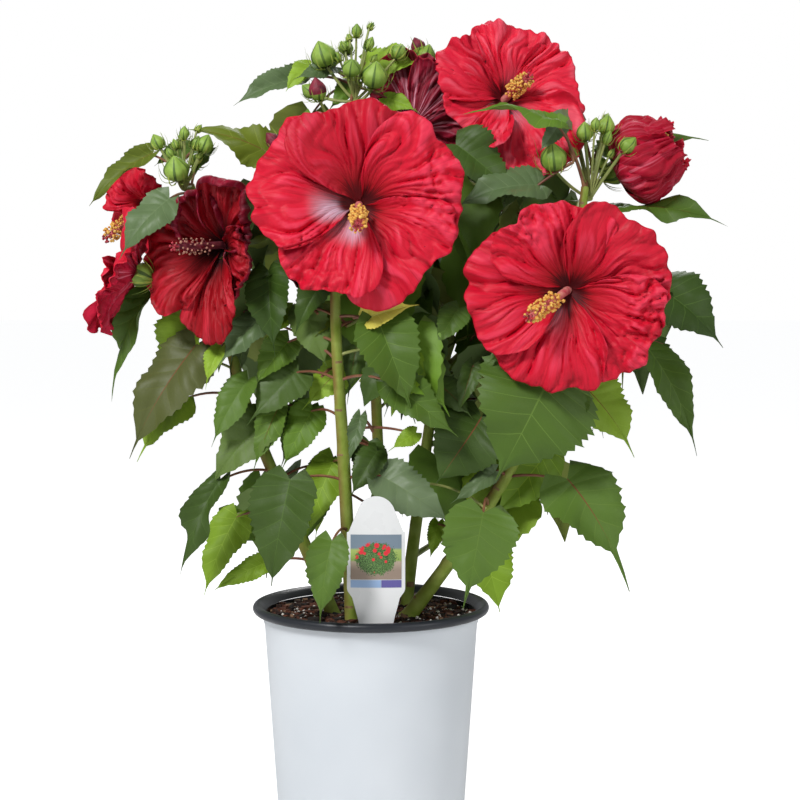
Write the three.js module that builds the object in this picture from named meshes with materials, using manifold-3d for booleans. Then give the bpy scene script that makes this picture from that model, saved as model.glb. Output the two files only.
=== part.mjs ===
// Potted hibiscus shrub: a white nursery pot with a black rolled rim, five canes that rise from its soil,
// large blooms, knots of buds at the cane tips, and the drooping masses of leaves between them.
// Millimetres, +Z up. The origin is the centre of the pot's flat underside, and the front is towards -Y.
import * as THREE from 'three';
import { mergeVertices } from 'three/addons/utils/BufferGeometryUtils.js';
import Module from 'manifold-3d';

// Pot
const POT_HEIGHT = 230;
const POT_FOOT_RADIUS = 87;
const POT_SHOULDER_RADIUS = 102;
const POT_WALL = 3;
const RIM_RADIUS = 112.5;
const RIM_MOUTH_RADIUS = 107;
const RIM_DEPTH = 9;
const RIM_ROUND = 1.6;
const POT_SEGMENTS = 32;

// Soil and the label that stands in it
const SOIL_TOP = 216;
const LABEL_WIDTH = 53;
const LABEL_STEM_WIDTH = 34;
const LABEL_THICKNESS = 1.2;
const LABEL_SHOULDER = 258;
const LABEL_ARC_FOOT = 312;
const LABEL_TOP = 342;
const LABEL_PLACE = [6, -92];

// Touching pieces stay this far apart, and a piece that cuts a later one is grown by this much first
const GAP = 0.35;
const CUTTER_MARGIN = 0.3;

// Canes and boughs
const LIMB_SIDES = 8;
const LIMB_STEP = 48;

// Blooms
const BLOOM_SEGMENTS = 20;
const PETALS = 5;
const PETAL_THICKNESS = 7;
const COLUMN_RADIUS = 5;
const LOBE_DEPTH = 0.05;

// A crown mass narrows to its lower tip by this share, and its surface swells and dips by the next one
const TIP_TAPER = 0.34;
const UNEVENNESS = 0.2;
const LARGE_MASS = 105;

const COLOURS = {
  potWhite: 0xdfe5ea,
  rimBlack: 0x24272b,
  soil: 0x4a3528,
  label: 0xf2f4f5,
  cane: 0x7d8c4a,
  petal: 0xc4142c,
  fadedPetal: 0x7d1226,
  bud: 0x7f9c46,
  leaf: 0x4c6b3d,
  limeLeaf: 0x8aa83c,
};

// Stems: foot first, then the points that the limb passes, and its radius at each end
const LIMBS = [
  { name: 'cane_front', radii: [6.6, 3.6],
    through: [[-17, -40, 216.4], [-24, -56, 370], [-31, -70, 519], [-27, -48, 620], [-18, -24, 700]] },
  { name: 'cane_centre', radii: [6.2, 3.6],
    through: [[16, 20, 216.4], [7, 8, 370], [5, 2, 513], [20, -6, 590], [34, -14, 628]] },
  { name: 'cane_top', radii: [6.4, 3.4],
    through: [[32, 30, 216.4], [54, 32, 382], [68, 34, 469], [98, 42, 600], [118, 46, 672]] },
  { name: 'cane_right', radii: [7.2, 3.6],
    through: [[31, -20, 216.4], [74, -20, 271], [134, -30, 368], [163, -40, 446], [187, -42, 540], [198, -34, 622]] },
  { name: 'cane_left', radii: [6.6, 3.6],
    through: [[-33, -10, 216.4], [-69, -10, 301], [-114, -8, 410], [-134, -4, 480], [-150, 0, 560], [-166, -26, 624]] },
  { name: 'bough_back_left', radii: [4.4, 2.8],
    through: [[8, 12, 440], [-10, 88, 520], [-37, 192, 602]] },
  { name: 'bough_back_right', radii: [4.4, 2.8],
    through: [[72, 42, 450], [130, 112, 496], [196, 180, 522]] },
];

// Blooms: the middle of the open mouth, its width and height, how deep the cup is, the way it faces,
// and how far the column stands out past the mouth
const BLOOMS = [
  { name: 'bloom_front', at: [-14, -120, 604], mouth: [181, 179], cup: 26, facing: [0, -1, 0.02], column: 18 },
  { name: 'bloom_right', at: [174, -120, 529], mouth: [178, 172], cup: 28, facing: [-0.12, -0.97, -0.18], column: 20 },
  { name: 'bloom_top', at: [127, 6, 712], mouth: [146, 160], cup: 26, facing: [0.12, -0.84, 0.5], column: 16 },
  { name: 'bloom_left_wilting', at: [-149, -66, 560], mouth: [104, 156], cup: 38, facing: [-0.36, -0.9, -0.1],
    column: 4, faded: true },
  { name: 'bloom_far_left', at: [-238, -40, 533], mouth: [68, 92], cup: 42, facing: [-0.84, -0.2, -0.5], column: 2 },
  { name: 'bloom_left_rear', at: [-236, 46, 600], mouth: [84, 86], cup: 40, facing: [-0.88, -0.32, 0.1], column: 6 },
  { name: 'bloom_behind_front', at: [42, 14, 684], mouth: [88, 124], cup: 34, facing: [0.15, 0.88, 0.42], column: 4,
    faded: true },
  { name: 'bloom_half_open', at: [274, 2, 658], mouth: [66, 70], cup: 50, facing: [0.62, -0.28, 0.62], column: 0 },
  { name: 'bloom_back_left', at: [-44, 226, 612], mouth: [168, 162], cup: 26, facing: [-0.2, 0.96, 0.1], column: 18 },
  { name: 'bloom_back_right', at: [208, 212, 526], mouth: [162, 158], cup: 26, facing: [0.32, 0.92, 0.04], column: 18 },
];

// Knots of buds, then masses of leaves from the front of the crown to its back: the middle, the full size,
// and the lean about the Y axis in degrees, which turns the lower tip towards +X
const MASSES = [
  { name: 'buds_centre', at: [-14, -18, 732], size: [92, 54, 52], lean: 0, colour: 'bud' },
  { name: 'buds_left', at: [-170, -38, 648], size: [64, 48, 48], lean: 0, colour: 'bud' },
  { name: 'buds_right', at: [204, -26, 654], size: [86, 56, 76], lean: 0, colour: 'bud' },
  { name: 'leaves_over_rim', at: [-37, -124, 270], size: [42, 26, 72], lean: -6 },
  { name: 'leaves_low_front_right', at: [96, -112, 288], size: [62, 40, 86], lean: -4 },
  { name: 'leaves_right_big', at: [160, -96, 406], size: [104, 46, 88], lean: -20 },
  { name: 'leaves_centre_big', at: [36, -98, 448], size: [88, 44, 112], lean: 22 },
  { name: 'leaves_centre_right', at: [88, -66, 406], size: [64, 46, 112], lean: 4 },
  { name: 'leaves_centre_low', at: [38, -70, 338], size: [70, 50, 46], lean: 14 },
  { name: 'leaves_left_shoulder', at: [-98, -56, 500], size: [126, 48, 96], lean: -10 },
  { name: 'leaves_left_middle', at: [-106, -46, 408], size: [86, 50, 104], lean: -16 },
  { name: 'leaves_low_left_big', at: [-87, -82, 308], size: [60, 40, 98], lean: -12 },
  { name: 'leaves_low_left_middle', at: [-60, -22, 356], size: [60, 44, 124], lean: 6 },
  { name: 'leaves_low_left_narrow', at: [-158, -42, 308], size: [32, 30, 94], lean: -14 },
  { name: 'leaves_low_left_lime', at: [-128, 4, 274], size: [58, 40, 80], lean: -20, colour: 'limeLeaf' },
  { name: 'leaves_low_right_lime', at: [132, -20, 310], size: [70, 44, 146], lean: -12, colour: 'limeLeaf' },
  { name: 'leaves_low_right_single', at: [204, -62, 311], size: [72, 36, 124], lean: 14 },
  { name: 'leaves_right_lime', at: [218, -36, 404], size: [58, 36, 66], lean: 26, colour: 'limeLeaf' },
  { name: 'leaves_right_twisted', at: [280, -18, 424], size: [46, 34, 112], lean: 24 },
  { name: 'leaves_right_dark', at: [298, -2, 512], size: [66, 42, 92], lean: 22 },
  { name: 'leaves_far_right_tip', at: [282, -4, 590], size: [104, 36, 36], lean: 6 },
  { name: 'leaves_right_high_tip', at: [286, 40, 668], size: [74, 34, 28], lean: 0 },
  { name: 'leaves_upper_right', at: [122, -48, 642], size: [96, 46, 94], lean: 0 },
  { name: 'leaves_top_centre', at: [20, 18, 746], size: [66, 40, 40], lean: 0, colour: 'limeLeaf' },
  { name: 'leaves_top_left_grey', at: [-97, 2, 713], size: [62, 34, 32], lean: 0 },
  { name: 'leaves_top_left_narrow', at: [-126, -8, 660], size: [86, 34, 40], lean: 0, colour: 'limeLeaf' },
  { name: 'leaves_far_left_olive', at: [-233, 0, 632], size: [62, 36, 58], lean: -16 },
  { name: 'leaves_left_blue', at: [-200, -58, 588], size: [62, 34, 70], lean: -10 },
  { name: 'leaves_left_drip', at: [-214, -18, 476], size: [58, 40, 104], lean: -16 },
  { name: 'leaves_far_left_low', at: [-195, -32, 420], size: [62, 40, 114], lean: -12 },
  { name: 'leaves_back_top', at: [-22, 130, 640], size: [166, 112, 150], lean: 0 },
  { name: 'leaves_back_top_right', at: [138, 118, 690], size: [118, 98, 104], lean: 0 },
  { name: 'leaves_back_upper_left', at: [-172, 122, 556], size: [108, 112, 140], lean: -6 },
  { name: 'leaves_back_upper_right', at: [206, 116, 530], size: [158, 106, 138], lean: 6 },
  { name: 'leaves_back_left', at: [-110, 150, 436], size: [118, 120, 122], lean: -8 },
  { name: 'leaves_back_middle', at: [56, 164, 436], size: [122, 122, 130], lean: 0 },
  { name: 'leaves_back_right', at: [178, 136, 398], size: [108, 110, 104], lean: 12 },
  { name: 'leaves_back_low_left', at: [-92, 104, 306], size: [76, 76, 110], lean: -8 },
  { name: 'leaves_back_low_right', at: [100, 108, 294], size: [76, 76, 100], lean: 8 },
];

const wasm = await Module();
wasm.setup();

// A closed mesh with shared corners and no collapsed triangles
function closedMesh(geometry) {
  const bare = geometry.clone();
  bare.deleteAttribute('normal');
  bare.deleteAttribute('uv');
  const merged = mergeVertices(bare, 1e-3);
  const corners = merged.index.array;
  const kept = [];
  for (let i = 0; i < corners.length; i += 3) {
    const [a, b, c] = [corners[i], corners[i + 1], corners[i + 2]];
    if (a !== b && b !== c && c !== a) {
      kept.push(a, b, c);
    }
  }
  merged.setIndex(kept);
  return merged;
}

function solidFrom(geometry) {
  const vertProperties = new Float32Array(geometry.attributes.position.array);
  const triVerts = new Uint32Array(geometry.index.array);
  return new wasm.Manifold(new wasm.Mesh({ numProp: 3, vertProperties, triVerts }));
}

function geometryFrom(solid) {
  const mesh = solid.getMesh();
  const geometry = new THREE.BufferGeometry();
  geometry.setAttribute('position', new THREE.BufferAttribute(mesh.vertProperties, 3));
  geometry.setIndex(new THREE.BufferAttribute(mesh.triVerts, 1));
  geometry.computeVertexNormals();
  return geometry;
}

// The same mesh grown outwards on all sides, used to cut a neighbour with room to spare
function grown(geometry, distance) {
  const larger = geometry.clone();
  larger.computeVertexNormals();
  const { position, normal } = larger.attributes;
  for (let i = 0; i < position.count; i += 1) {
    position.setXYZ(
      i,
      position.getX(i) + normal.getX(i) * distance,
      position.getY(i) + normal.getY(i) * distance,
      position.getZ(i) + normal.getZ(i) * distance,
    );
  }
  return larger;
}

function turned(profile, segments) {
  const points = profile.map(([radius, height]) => new THREE.Vector2(radius, height));
  const geometry = new THREE.LatheGeometry(points, segments);
  geometry.rotateX(Math.PI / 2);
  return closedMesh(geometry);
}

// Three slow waves that give every crown mass its own swellings
function wave(direction, seed) {
  const first = Math.sin(3.1 * direction.x + 2.3 * direction.z + seed * 1.7);
  const second = Math.sin(3.7 * direction.y - 2.9 * direction.z + seed * 2.9);
  const third = Math.sin(4.3 * direction.x * direction.y + 3.3 * direction.z + seed * 4.1);
  return (first + second + third) / 3;
}

function potWall() {
  const lip = POT_HEIGHT - RIM_DEPTH;
  return turned([
    [0, 0],
    [POT_FOOT_RADIUS - POT_WALL, 0],
    [POT_FOOT_RADIUS, POT_WALL],
    [POT_SHOULDER_RADIUS, lip],
    [POT_SHOULDER_RADIUS - POT_WALL, lip],
    [POT_FOOT_RADIUS - POT_WALL, POT_WALL],
    [0, POT_WALL],
  ], POT_SEGMENTS);
}

function potRim() {
  const underside = POT_HEIGHT - RIM_DEPTH + GAP;
  const inside = POT_SHOULDER_RADIUS - POT_WALL;
  return turned([
    [inside, underside],
    [RIM_RADIUS - RIM_ROUND, underside],
    [RIM_RADIUS, underside + RIM_ROUND],
    [RIM_RADIUS, POT_HEIGHT - RIM_ROUND],
    [RIM_RADIUS - RIM_ROUND, POT_HEIGHT],
    [RIM_MOUTH_RADIUS, POT_HEIGHT],
    [inside, underside + RIM_ROUND],
    [inside, underside],
  ], POT_SEGMENTS);
}

function soil() {
  const slope = (POT_SHOULDER_RADIUS - POT_FOOT_RADIUS) / (POT_HEIGHT - RIM_DEPTH - POT_WALL);
  const footRadius = POT_FOOT_RADIUS - POT_WALL - GAP;
  const topRadius = footRadius + slope * (SOIL_TOP - POT_WALL);
  return turned([
    [0, POT_WALL + GAP],
    [footRadius, POT_WALL + GAP],
    [topRadius, SOIL_TOP],
    [0, SOIL_TOP],
  ], POT_SEGMENTS);
}

// A tag with a round top and a narrower stem that stands on the soil
function plantLabel() {
  const half = LABEL_WIDTH / 2;
  const stem = LABEL_STEM_WIDTH / 2;
  const outline = new THREE.Shape();
  outline.moveTo(-stem, SOIL_TOP + GAP);
  outline.lineTo(stem, SOIL_TOP + GAP);
  outline.lineTo(stem, LABEL_SHOULDER - half + stem);
  outline.lineTo(half, LABEL_SHOULDER);
  outline.lineTo(half, LABEL_ARC_FOOT);
  outline.quadraticCurveTo(half, LABEL_TOP, 0, LABEL_TOP);
  outline.quadraticCurveTo(-half, LABEL_TOP, -half, LABEL_ARC_FOOT);
  outline.lineTo(-half, LABEL_SHOULDER);
  outline.lineTo(-stem, LABEL_SHOULDER - half + stem);
  const geometry = new THREE.ExtrudeGeometry(outline, {
    depth: LABEL_THICKNESS, bevelEnabled: false, curveSegments: 6,
  });
  geometry.rotateX(Math.PI / 2);
  geometry.translate(LABEL_PLACE[0], LABEL_PLACE[1], 0);
  return closedMesh(geometry);
}

// A tube along a curve through the limb's points, thinned from foot to tip
function limb({ radii, through }) {
  const route = new THREE.CatmullRomCurve3(through.map((point) => new THREE.Vector3(...point)));
  const steps = Math.ceil(route.getLength() / LIMB_STEP);
  const section = new THREE.Shape();
  section.absarc(0, 0, radii[0], 0, 2 * Math.PI);
  const geometry = new THREE.ExtrudeGeometry(section, {
    extrudePath: route, steps, curveSegments: LIMB_SIDES / 2, bevelEnabled: false,
  });
  const middles = route.getSpacedPoints(steps);
  const { position } = geometry.attributes;
  const corner = new THREE.Vector3();
  for (let i = 0; i < position.count; i += 1) {
    corner.fromBufferAttribute(position, i);
    const distances = middles.map((middle) => middle.distanceTo(corner));
    const ring = distances.indexOf(Math.min(...distances));
    const radius = THREE.MathUtils.lerp(radii[0], radii[1], ring / steps);
    corner.sub(middles[ring]).multiplyScalar(radius / radii[0]).add(middles[ring]);
    position.setXYZ(i, corner.x, corner.y, corner.z);
  }
  return closedMesh(geometry);
}

// A cup of five lobed petals with the column standing in it, made facing +Z and then turned
function bloom({ at, mouth, cup, facing, column }, seed) {
  const rows = [1, 0.58];
  const backHeight = (share) => -cup * (1 - share ** 1.6);
  const back = rows.map((share) => [share, backHeight(share)]).reverse();
  const front = rows.map((share) => [share * 0.97, backHeight(share) + PETAL_THICKNESS]);
  const columnShare = COLUMN_RADIUS / (mouth[0] / 2);
  const geometry = turned([
    [0, -cup - PETAL_THICKNESS],
    [columnShare * 1.4, -cup - PETAL_THICKNESS],
    ...back,
    ...front,
    [columnShare, -cup + PETAL_THICKNESS],
    [columnShare, column],
    [0, column],
  ], BLOOM_SEGMENTS);
  const { position } = geometry.attributes;
  for (let i = 0; i < position.count; i += 1) {
    const [x, y, z] = [position.getX(i), position.getY(i), position.getZ(i)];
    const share = Math.hypot(x, y);
    const angle = Math.atan2(y, x);
    const petalWave = Math.cos(PETALS * angle + seed);
    const lobe = 1 + LOBE_DEPTH * (petalWave - 0.4) * share;
    const ruffle = 0.16 * cup * share * share * Math.sin(PETALS * angle + seed * 2.1);
    position.setXYZ(i, x * lobe * mouth[0] / 2, y * lobe * mouth[1] / 2, z + ruffle);
  }
  const ahead = new THREE.Vector3(...facing).normalize();
  const right = new THREE.Vector3(0, 0, 1).cross(ahead).normalize();
  const up = ahead.clone().cross(right);
  geometry.applyMatrix4(new THREE.Matrix4().makeBasis(right, up, ahead));
  geometry.translate(...at);
  return geometry;
}

// An uneven lump, broad above and drawn to a drooping tip below, as hanging leaves lie
function crownMass({ at, size, lean }, seed) {
  const detail = Math.max(...size) > LARGE_MASS ? 2 : 1;
  const geometry = closedMesh(new THREE.IcosahedronGeometry(1, detail));
  const { position } = geometry.attributes;
  const corner = new THREE.Vector3();
  for (let i = 0; i < position.count; i += 1) {
    corner.fromBufferAttribute(position, i);
    const swell = 1 + UNEVENNESS * wave(corner, seed);
    const taper = 1 + TIP_TAPER * Math.min(corner.z, 0.4);
    position.setXYZ(i, corner.x * swell * taper, corner.y * swell * taper, corner.z * swell);
  }
  geometry.computeBoundingBox();
  const extent = geometry.boundingBox.getSize(new THREE.Vector3());
  geometry.center();
  geometry.scale(size[0] / extent.x, size[1] / extent.y, size[2] / extent.z);
  geometry.rotateY(THREE.MathUtils.degToRad(-lean));
  geometry.computeBoundingBox();
  geometry.center();
  geometry.translate(...at);
  return geometry;
}

function paint(colour, roughness) {
  return new THREE.MeshStandardMaterial({ color: COLOURS[colour], roughness, metalness: 0 });
}

// Everything in the order in which it keeps its room: what comes later is cut round what came before
const pieces = [
  { name: 'pot_wall', geometry: potWall(), material: paint('potWhite', 0.45) },
  { name: 'pot_rim', geometry: potRim(), material: paint('rimBlack', 0.35) },
  { name: 'soil', geometry: soil(), material: paint('soil', 0.95) },
  { name: 'plant_label', geometry: plantLabel(), material: paint('label', 0.4) },
];
LIMBS.forEach((entry) => {
  pieces.push({ name: entry.name, geometry: limb(entry), material: paint('cane', 0.6) });
});
BLOOMS.forEach((entry, seed) => {
  const colour = entry.faded ? 'fadedPetal' : 'petal';
  pieces.push({ name: entry.name, geometry: bloom(entry, seed), material: paint(colour, 0.55) });
});
MASSES.forEach((entry, seed) => {
  const colour = entry.colour ?? 'leaf';
  pieces.push({ name: entry.name, geometry: crownMass(entry, seed), material: paint(colour, 0.6) });
});

const shrub = new THREE.Group();
const placed = [];
pieces.forEach(({ name, geometry, material }) => {
  geometry.computeBoundingBox();
  const neighbours = placed.filter((other) => other.box.intersectsBox(geometry.boundingBox));
  const whole = solidFrom(geometry);
  const cut = neighbours.reduce((left, other) => left.subtract(other.cutter), whole);
  const largest = cut.decompose().reduce((best, part) => (part.volume() > best.volume() ? part : best));
  const mesh = new THREE.Mesh(geometryFrom(largest), material);
  mesh.name = name;
  shrub.add(mesh);
  const cutterGeometry = grown(geometry, CUTTER_MARGIN);
  cutterGeometry.computeBoundingBox();
  placed.push({ box: cutterGeometry.boundingBox, cutter: solidFrom(cutterGeometry).add(whole) });
});

export default shrub;
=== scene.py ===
import math
import random

import bmesh
import bpy
from mathutils import Matrix, Vector, noise


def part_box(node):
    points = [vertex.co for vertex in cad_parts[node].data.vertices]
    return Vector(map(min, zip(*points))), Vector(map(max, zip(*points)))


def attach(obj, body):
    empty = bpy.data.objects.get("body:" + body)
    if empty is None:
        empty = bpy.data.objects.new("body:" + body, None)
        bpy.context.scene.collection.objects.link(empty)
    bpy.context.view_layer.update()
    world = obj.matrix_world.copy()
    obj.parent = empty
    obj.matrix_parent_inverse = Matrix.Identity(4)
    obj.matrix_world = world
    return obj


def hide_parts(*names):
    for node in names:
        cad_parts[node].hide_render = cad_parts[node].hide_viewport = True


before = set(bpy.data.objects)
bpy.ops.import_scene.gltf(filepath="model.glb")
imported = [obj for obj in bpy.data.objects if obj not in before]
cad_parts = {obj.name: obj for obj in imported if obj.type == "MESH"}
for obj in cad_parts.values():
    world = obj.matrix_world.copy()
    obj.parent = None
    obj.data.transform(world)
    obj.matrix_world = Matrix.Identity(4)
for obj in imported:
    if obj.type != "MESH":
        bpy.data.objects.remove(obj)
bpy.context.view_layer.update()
mm = 0.001
up = Vector((0, 0, 1))
print("frame loaded:", len(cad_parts), "nodes")


def shade(red, green, blue):
    # a screen colour, 0 to 255, as the linear colour that a shader wants
    return tuple((value / 255) ** 2.2 for value in (red, green, blue)) + (1,)


def boxOf(node):
    low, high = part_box(node)
    return low / mm, high / mm


def kept(spot, low, high, room):
    return Vector(min(max(value, a + room), b - room) for value, a, b in zip(spot, low, high))


def spotIn(node, across, height, behind=0):
    # a place in a node's box in millimetres: shares of its width and height, and how far behind its middle
    low, high = boxOf(node)
    return Vector((
        low.x + (high.x - low.x) * across,
        (low.y + high.y) / 2 + behind,
        low.z + (high.z - low.z) * height,
    ))


def mix(a, b, share):
    return a + (b - a) * share


def smooth(low, high, value):
    share = min(max((value - low) / (high - low), 0), 1)
    return share * share * (3 - 2 * share)


def frameFor(ahead, top=up):
    # right, up and ahead for something that faces ahead
    ahead = ahead.normalized()
    right = top.cross(ahead)
    if right.length < 0.01:
        right = Vector((1, 0, 0))
    right.normalize()
    return right, ahead.cross(right), ahead


class Gathered:
    # points and faces of many small shapes in millimetres, which become one piece at the end
    def __init__(self):
        self.points = []
        self.faces = []
        self.slots = []
        self.places = []
        self.marks = {}

    def add(self, points, faces, slot=0, places=None):
        first = len(self.points)
        self.points.extend(points)
        self.faces.extend(tuple(first + corner for corner in face) for face in faces)
        self.slots.extend([slot] * len(faces) if isinstance(slot, int) else slot)
        self.places.extend(places if places else [(0.5, 0.5)] * len(points))

    def piece(self, name, materials, sharpest=40):
        mesh = bpy.data.meshes.new(name)
        mesh.from_pydata([point * mm for point in self.points], [], self.faces)
        for material in materials:
            mesh.materials.append(material)
        mesh.polygons.foreach_set("material_index", self.slots)
        layer = mesh.uv_layers.new(name="petalMap")
        corners = [0] * len(mesh.loops)
        mesh.loops.foreach_get("vertex_index", corners)
        flat = [number for corner in corners for number in self.places[corner]]
        layer.data.foreach_set("uv", flat)
        for label, values in self.marks.items():
            mesh.attributes.new(label, "FLOAT", "POINT").data.foreach_set("value", values)
        mesh.shade_smooth()
        mesh.set_sharp_from_angle(angle=math.radians(sharpest))
        mesh.validate()
        made = bpy.data.objects.new(name, mesh)
        bpy.context.collection.objects.link(made)
        return made


def selectOnly(thing):
    bpy.ops.object.select_all(action="DESELECT")
    thing.select_set(True)
    bpy.context.view_layer.objects.active = thing


def applyModifiers(thing):
    selectOnly(thing)
    for modifier in list(thing.modifiers):
        bpy.ops.object.modifier_apply(modifier=modifier.name)


def wear(piece, slot, *nodes):
    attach(piece, "root")
    if nodes:
        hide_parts(*nodes)


def ringFaces(rings, sides):
    # the sides of a closed tube from its rings of points, then its two caps
    faces = []
    for i in range(rings - 1):
        for k in range(sides):
            a, b = i * sides + k, i * sides + (k + 1) % sides
            faces.append((a, b, b + sides, a + sides))
    faces.append(tuple(range(sides))[::-1])
    faces.append(tuple((rings - 1) * sides + k for k in range(sides)))
    return faces


def outAt(right, top, turn):
    # the direction at one turn round something that faces ahead
    return right * math.cos(turn) + top * math.sin(turn)


def tube(gathered, path, radii, sides=6, slot=0):
    # a closed round stalk along a few points
    points = []
    side = Vector((0.3, 0.2, 1))
    for i, point in enumerate(path):
        ahead = path[min(i + 1, len(path) - 1)] - path[max(i - 1, 0)]
        right, top, _ = frameFor(ahead, side)
        radius = radii[i] if isinstance(radii, (list, tuple)) else radii
        for k in range(sides):
            points.append(point + outAt(right, top, 2 * math.pi * k / sides) * radius)
    gathered.add(points, ringFaces(len(path), sides), slot)


def tapering(first, last, steps):
    return [mix(first, last, i / steps) for i in range(steps + 1)]


def bend(start, middle, end, steps):
    # a smooth arc through three points
    control = middle * 2 - (start + end) / 2
    shares = [i / steps for i in range(steps + 1)]
    return [start * (1 - t) ** 2 + control * 2 * t * (1 - t) + end * t * t for t in shares]


def nodeGroup(name, inputs, outputs):
    group = bpy.data.node_groups.new(name, "ShaderNodeTree")
    for label, kind, value in inputs:
        socket = group.interface.new_socket(label, in_out="INPUT", socket_type=kind)
        if value is not None:
            socket.default_value = value
    for label, kind in outputs:
        group.interface.new_socket(label, in_out="OUTPUT", socket_type=kind)
    return group, group.nodes.new("NodeGroupInput"), group.nodes.new("NodeGroupOutput")


def makeMottleGroup():
    # a soft patchy value between two limits
    group, start, end = nodeGroup(
        "mottle",
        [("Vector", "NodeSocketVector", None), ("Scale", "NodeSocketFloat", 40.0),
         ("Detail", "NodeSocketFloat", 3.0), ("Low", "NodeSocketFloat", 0.0),
         ("High", "NodeSocketFloat", 1.0)],
        [("Value", "NodeSocketFloat")],
    )
    cloud = group.nodes.new("ShaderNodeTexNoise")
    span = group.nodes.new("ShaderNodeMapRange")
    span.inputs["From Min"].default_value = 0.3
    span.inputs["From Max"].default_value = 0.7
    link = group.links.new
    link(start.outputs["Vector"], cloud.inputs["Vector"])
    link(start.outputs["Scale"], cloud.inputs["Scale"])
    link(start.outputs["Detail"], cloud.inputs["Detail"])
    link(cloud.outputs["Fac"], span.inputs["Value"])
    link(start.outputs["Low"], span.inputs["To Min"])
    link(start.outputs["High"], span.inputs["To Max"])
    link(span.outputs["Result"], end.inputs["Value"])
    return group


def makeGrainGroup():
    # fine skin relief: a bumped normal from two sizes of grain
    group, start, end = nodeGroup(
        "skinGrain",
        [("Vector", "NodeSocketVector", None), ("Scale", "NodeSocketFloat", 300.0),
         ("Strength", "NodeSocketFloat", 0.2), ("Depth", "NodeSocketFloat", 0.0006)],
        [("Normal", "NodeSocketVector")],
    )
    fine = group.nodes.new("ShaderNodeTexNoise")
    fine.inputs["Detail"].default_value = 4
    bump = group.nodes.new("ShaderNodeBump")
    link = group.links.new
    link(start.outputs["Vector"], fine.inputs["Vector"])
    link(start.outputs["Scale"], fine.inputs["Scale"])
    link(fine.outputs["Fac"], bump.inputs["Height"])
    link(start.outputs["Strength"], bump.inputs["Strength"])
    link(start.outputs["Depth"], bump.inputs["Distance"])
    link(bump.outputs["Normal"], end.inputs["Normal"])
    return group


mottleGroup = makeMottleGroup()
grainGroup = makeGrainGroup()


class Finish:
    # one material: its nodes, a Principled shader and short ways to add the shared groups
    def __init__(self, name, colour, roughness, **constants):
        self.material = bpy.data.materials.new(name)
        self.material.use_nodes = True
        self.nodes = self.material.node_tree.nodes
        self.link = self.material.node_tree.links.new
        self.shader = self.nodes["Principled BSDF"]
        self.shader.inputs["Base Color"].default_value = colour
        self.shader.inputs["Roughness"].default_value = roughness
        for label, value in constants.items():
            self.shader.inputs[label.replace("_", " ")].default_value = value
        self.material.diffuse_color = colour
        self.place = None

    def objectPlace(self):
        if self.place is None:
            self.place = self.nodes.new("ShaderNodeTexCoord").outputs["Object"]
        return self.place

    def petalPlace(self, scale=(1, 1, 1)):
        chart = self.nodes.new("ShaderNodeUVMap")
        chart.uv_map = "petalMap"
        mapping = self.nodes.new("ShaderNodeMapping")
        mapping.inputs["Scale"].default_value = scale
        self.link(chart.outputs["UV"], mapping.inputs["Vector"])
        return mapping.outputs["Vector"]

    def mark(self, label):
        node = self.nodes.new("ShaderNodeAttribute")
        node.attribute_name = label
        return node.outputs["Fac"]

    def mottle(self, scale, low=0.0, high=1.0, detail=3.0, place=None):
        node = self.nodes.new("ShaderNodeGroup")
        node.node_tree = mottleGroup
        for label, value in (("Scale", scale), ("Low", low), ("High", high), ("Detail", detail)):
            node.inputs[label].default_value = value
        self.link(place or self.objectPlace(), node.inputs["Vector"])
        return node.outputs["Value"]

    def grain(self, scale, strength, depth=0.0006, place=None):
        node = self.nodes.new("ShaderNodeGroup")
        node.node_tree = grainGroup
        for label, value in (("Scale", scale), ("Strength", strength), ("Depth", depth)):
            node.inputs[label].default_value = value
        self.link(place or self.objectPlace(), node.inputs["Vector"])
        self.link(node.outputs["Normal"], self.shader.inputs["Normal"])

    def blend(self, share, first, second):
        node = self.nodes.new("ShaderNodeMix")
        node.data_type = "RGBA"
        for socket, colour in ((node.inputs[6], first), (node.inputs[7], second)):
            if hasattr(colour, "node"):
                self.link(colour, socket)
            else:
                socket.default_value = colour
        self.link(share, node.inputs[0])
        return node.outputs[2]

    def maths(self, operation, first, second):
        node = self.nodes.new("ShaderNodeMath")
        node.operation = operation
        for socket, value in zip(node.inputs, (first, second)):
            if hasattr(value, "node"):
                self.link(value, socket)
            else:
                socket.default_value = value
        return node.outputs[0]

    def ramp(self, value, stops):
        node = self.nodes.new("ShaderNodeValToRGB")
        elements = node.color_ramp.elements
        while len(elements) < len(stops):
            elements.new(0.5)
        for element, (position, colour) in zip(elements, stops):
            element.position = position
            element.color = colour
        self.link(value, node.inputs["Fac"])
        return node.outputs["Color"]

    def colourBy(self, socket):
        self.link(socket, self.shader.inputs["Base Color"])

    def roughnessBy(self, socket):
        self.link(socket, self.shader.inputs["Roughness"])


def speckled(name, colour, roughness, size, dark, pale, grain=None, detail=3.0):
    # a material mottled between two colours, with a fine skin if it has one
    finish = Finish(name, shade(*colour), roughness)
    finish.colourBy(finish.blend(finish.mottle(size, 0, 1, detail), shade(*dark), shade(*pale)))
    if grain:
        finish.grain(*grain)
    return finish.material


limbLook = {
    "ringGap": 7,          # how close two corners of one CAD ring lie, along the limb
    "sides": 20,
    "step": 2.2,           # length of one ring of the finished bark
    "internode": (34, 58),     # between leaf scars
    "firstScar": (18, 36),
    "swelling": 0.13,      # of the radius, at a scar
    "scarReach": 4.2,
    "ridge": 0.05,
    "flare": (0.35, 9),    # how much a cane widens at its foot, and over what length
    "footTries": 40,       # places along a limb that a stalk can start from
}

limbNodes = [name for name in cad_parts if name.startswith(("cane_", "bough_"))]


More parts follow.
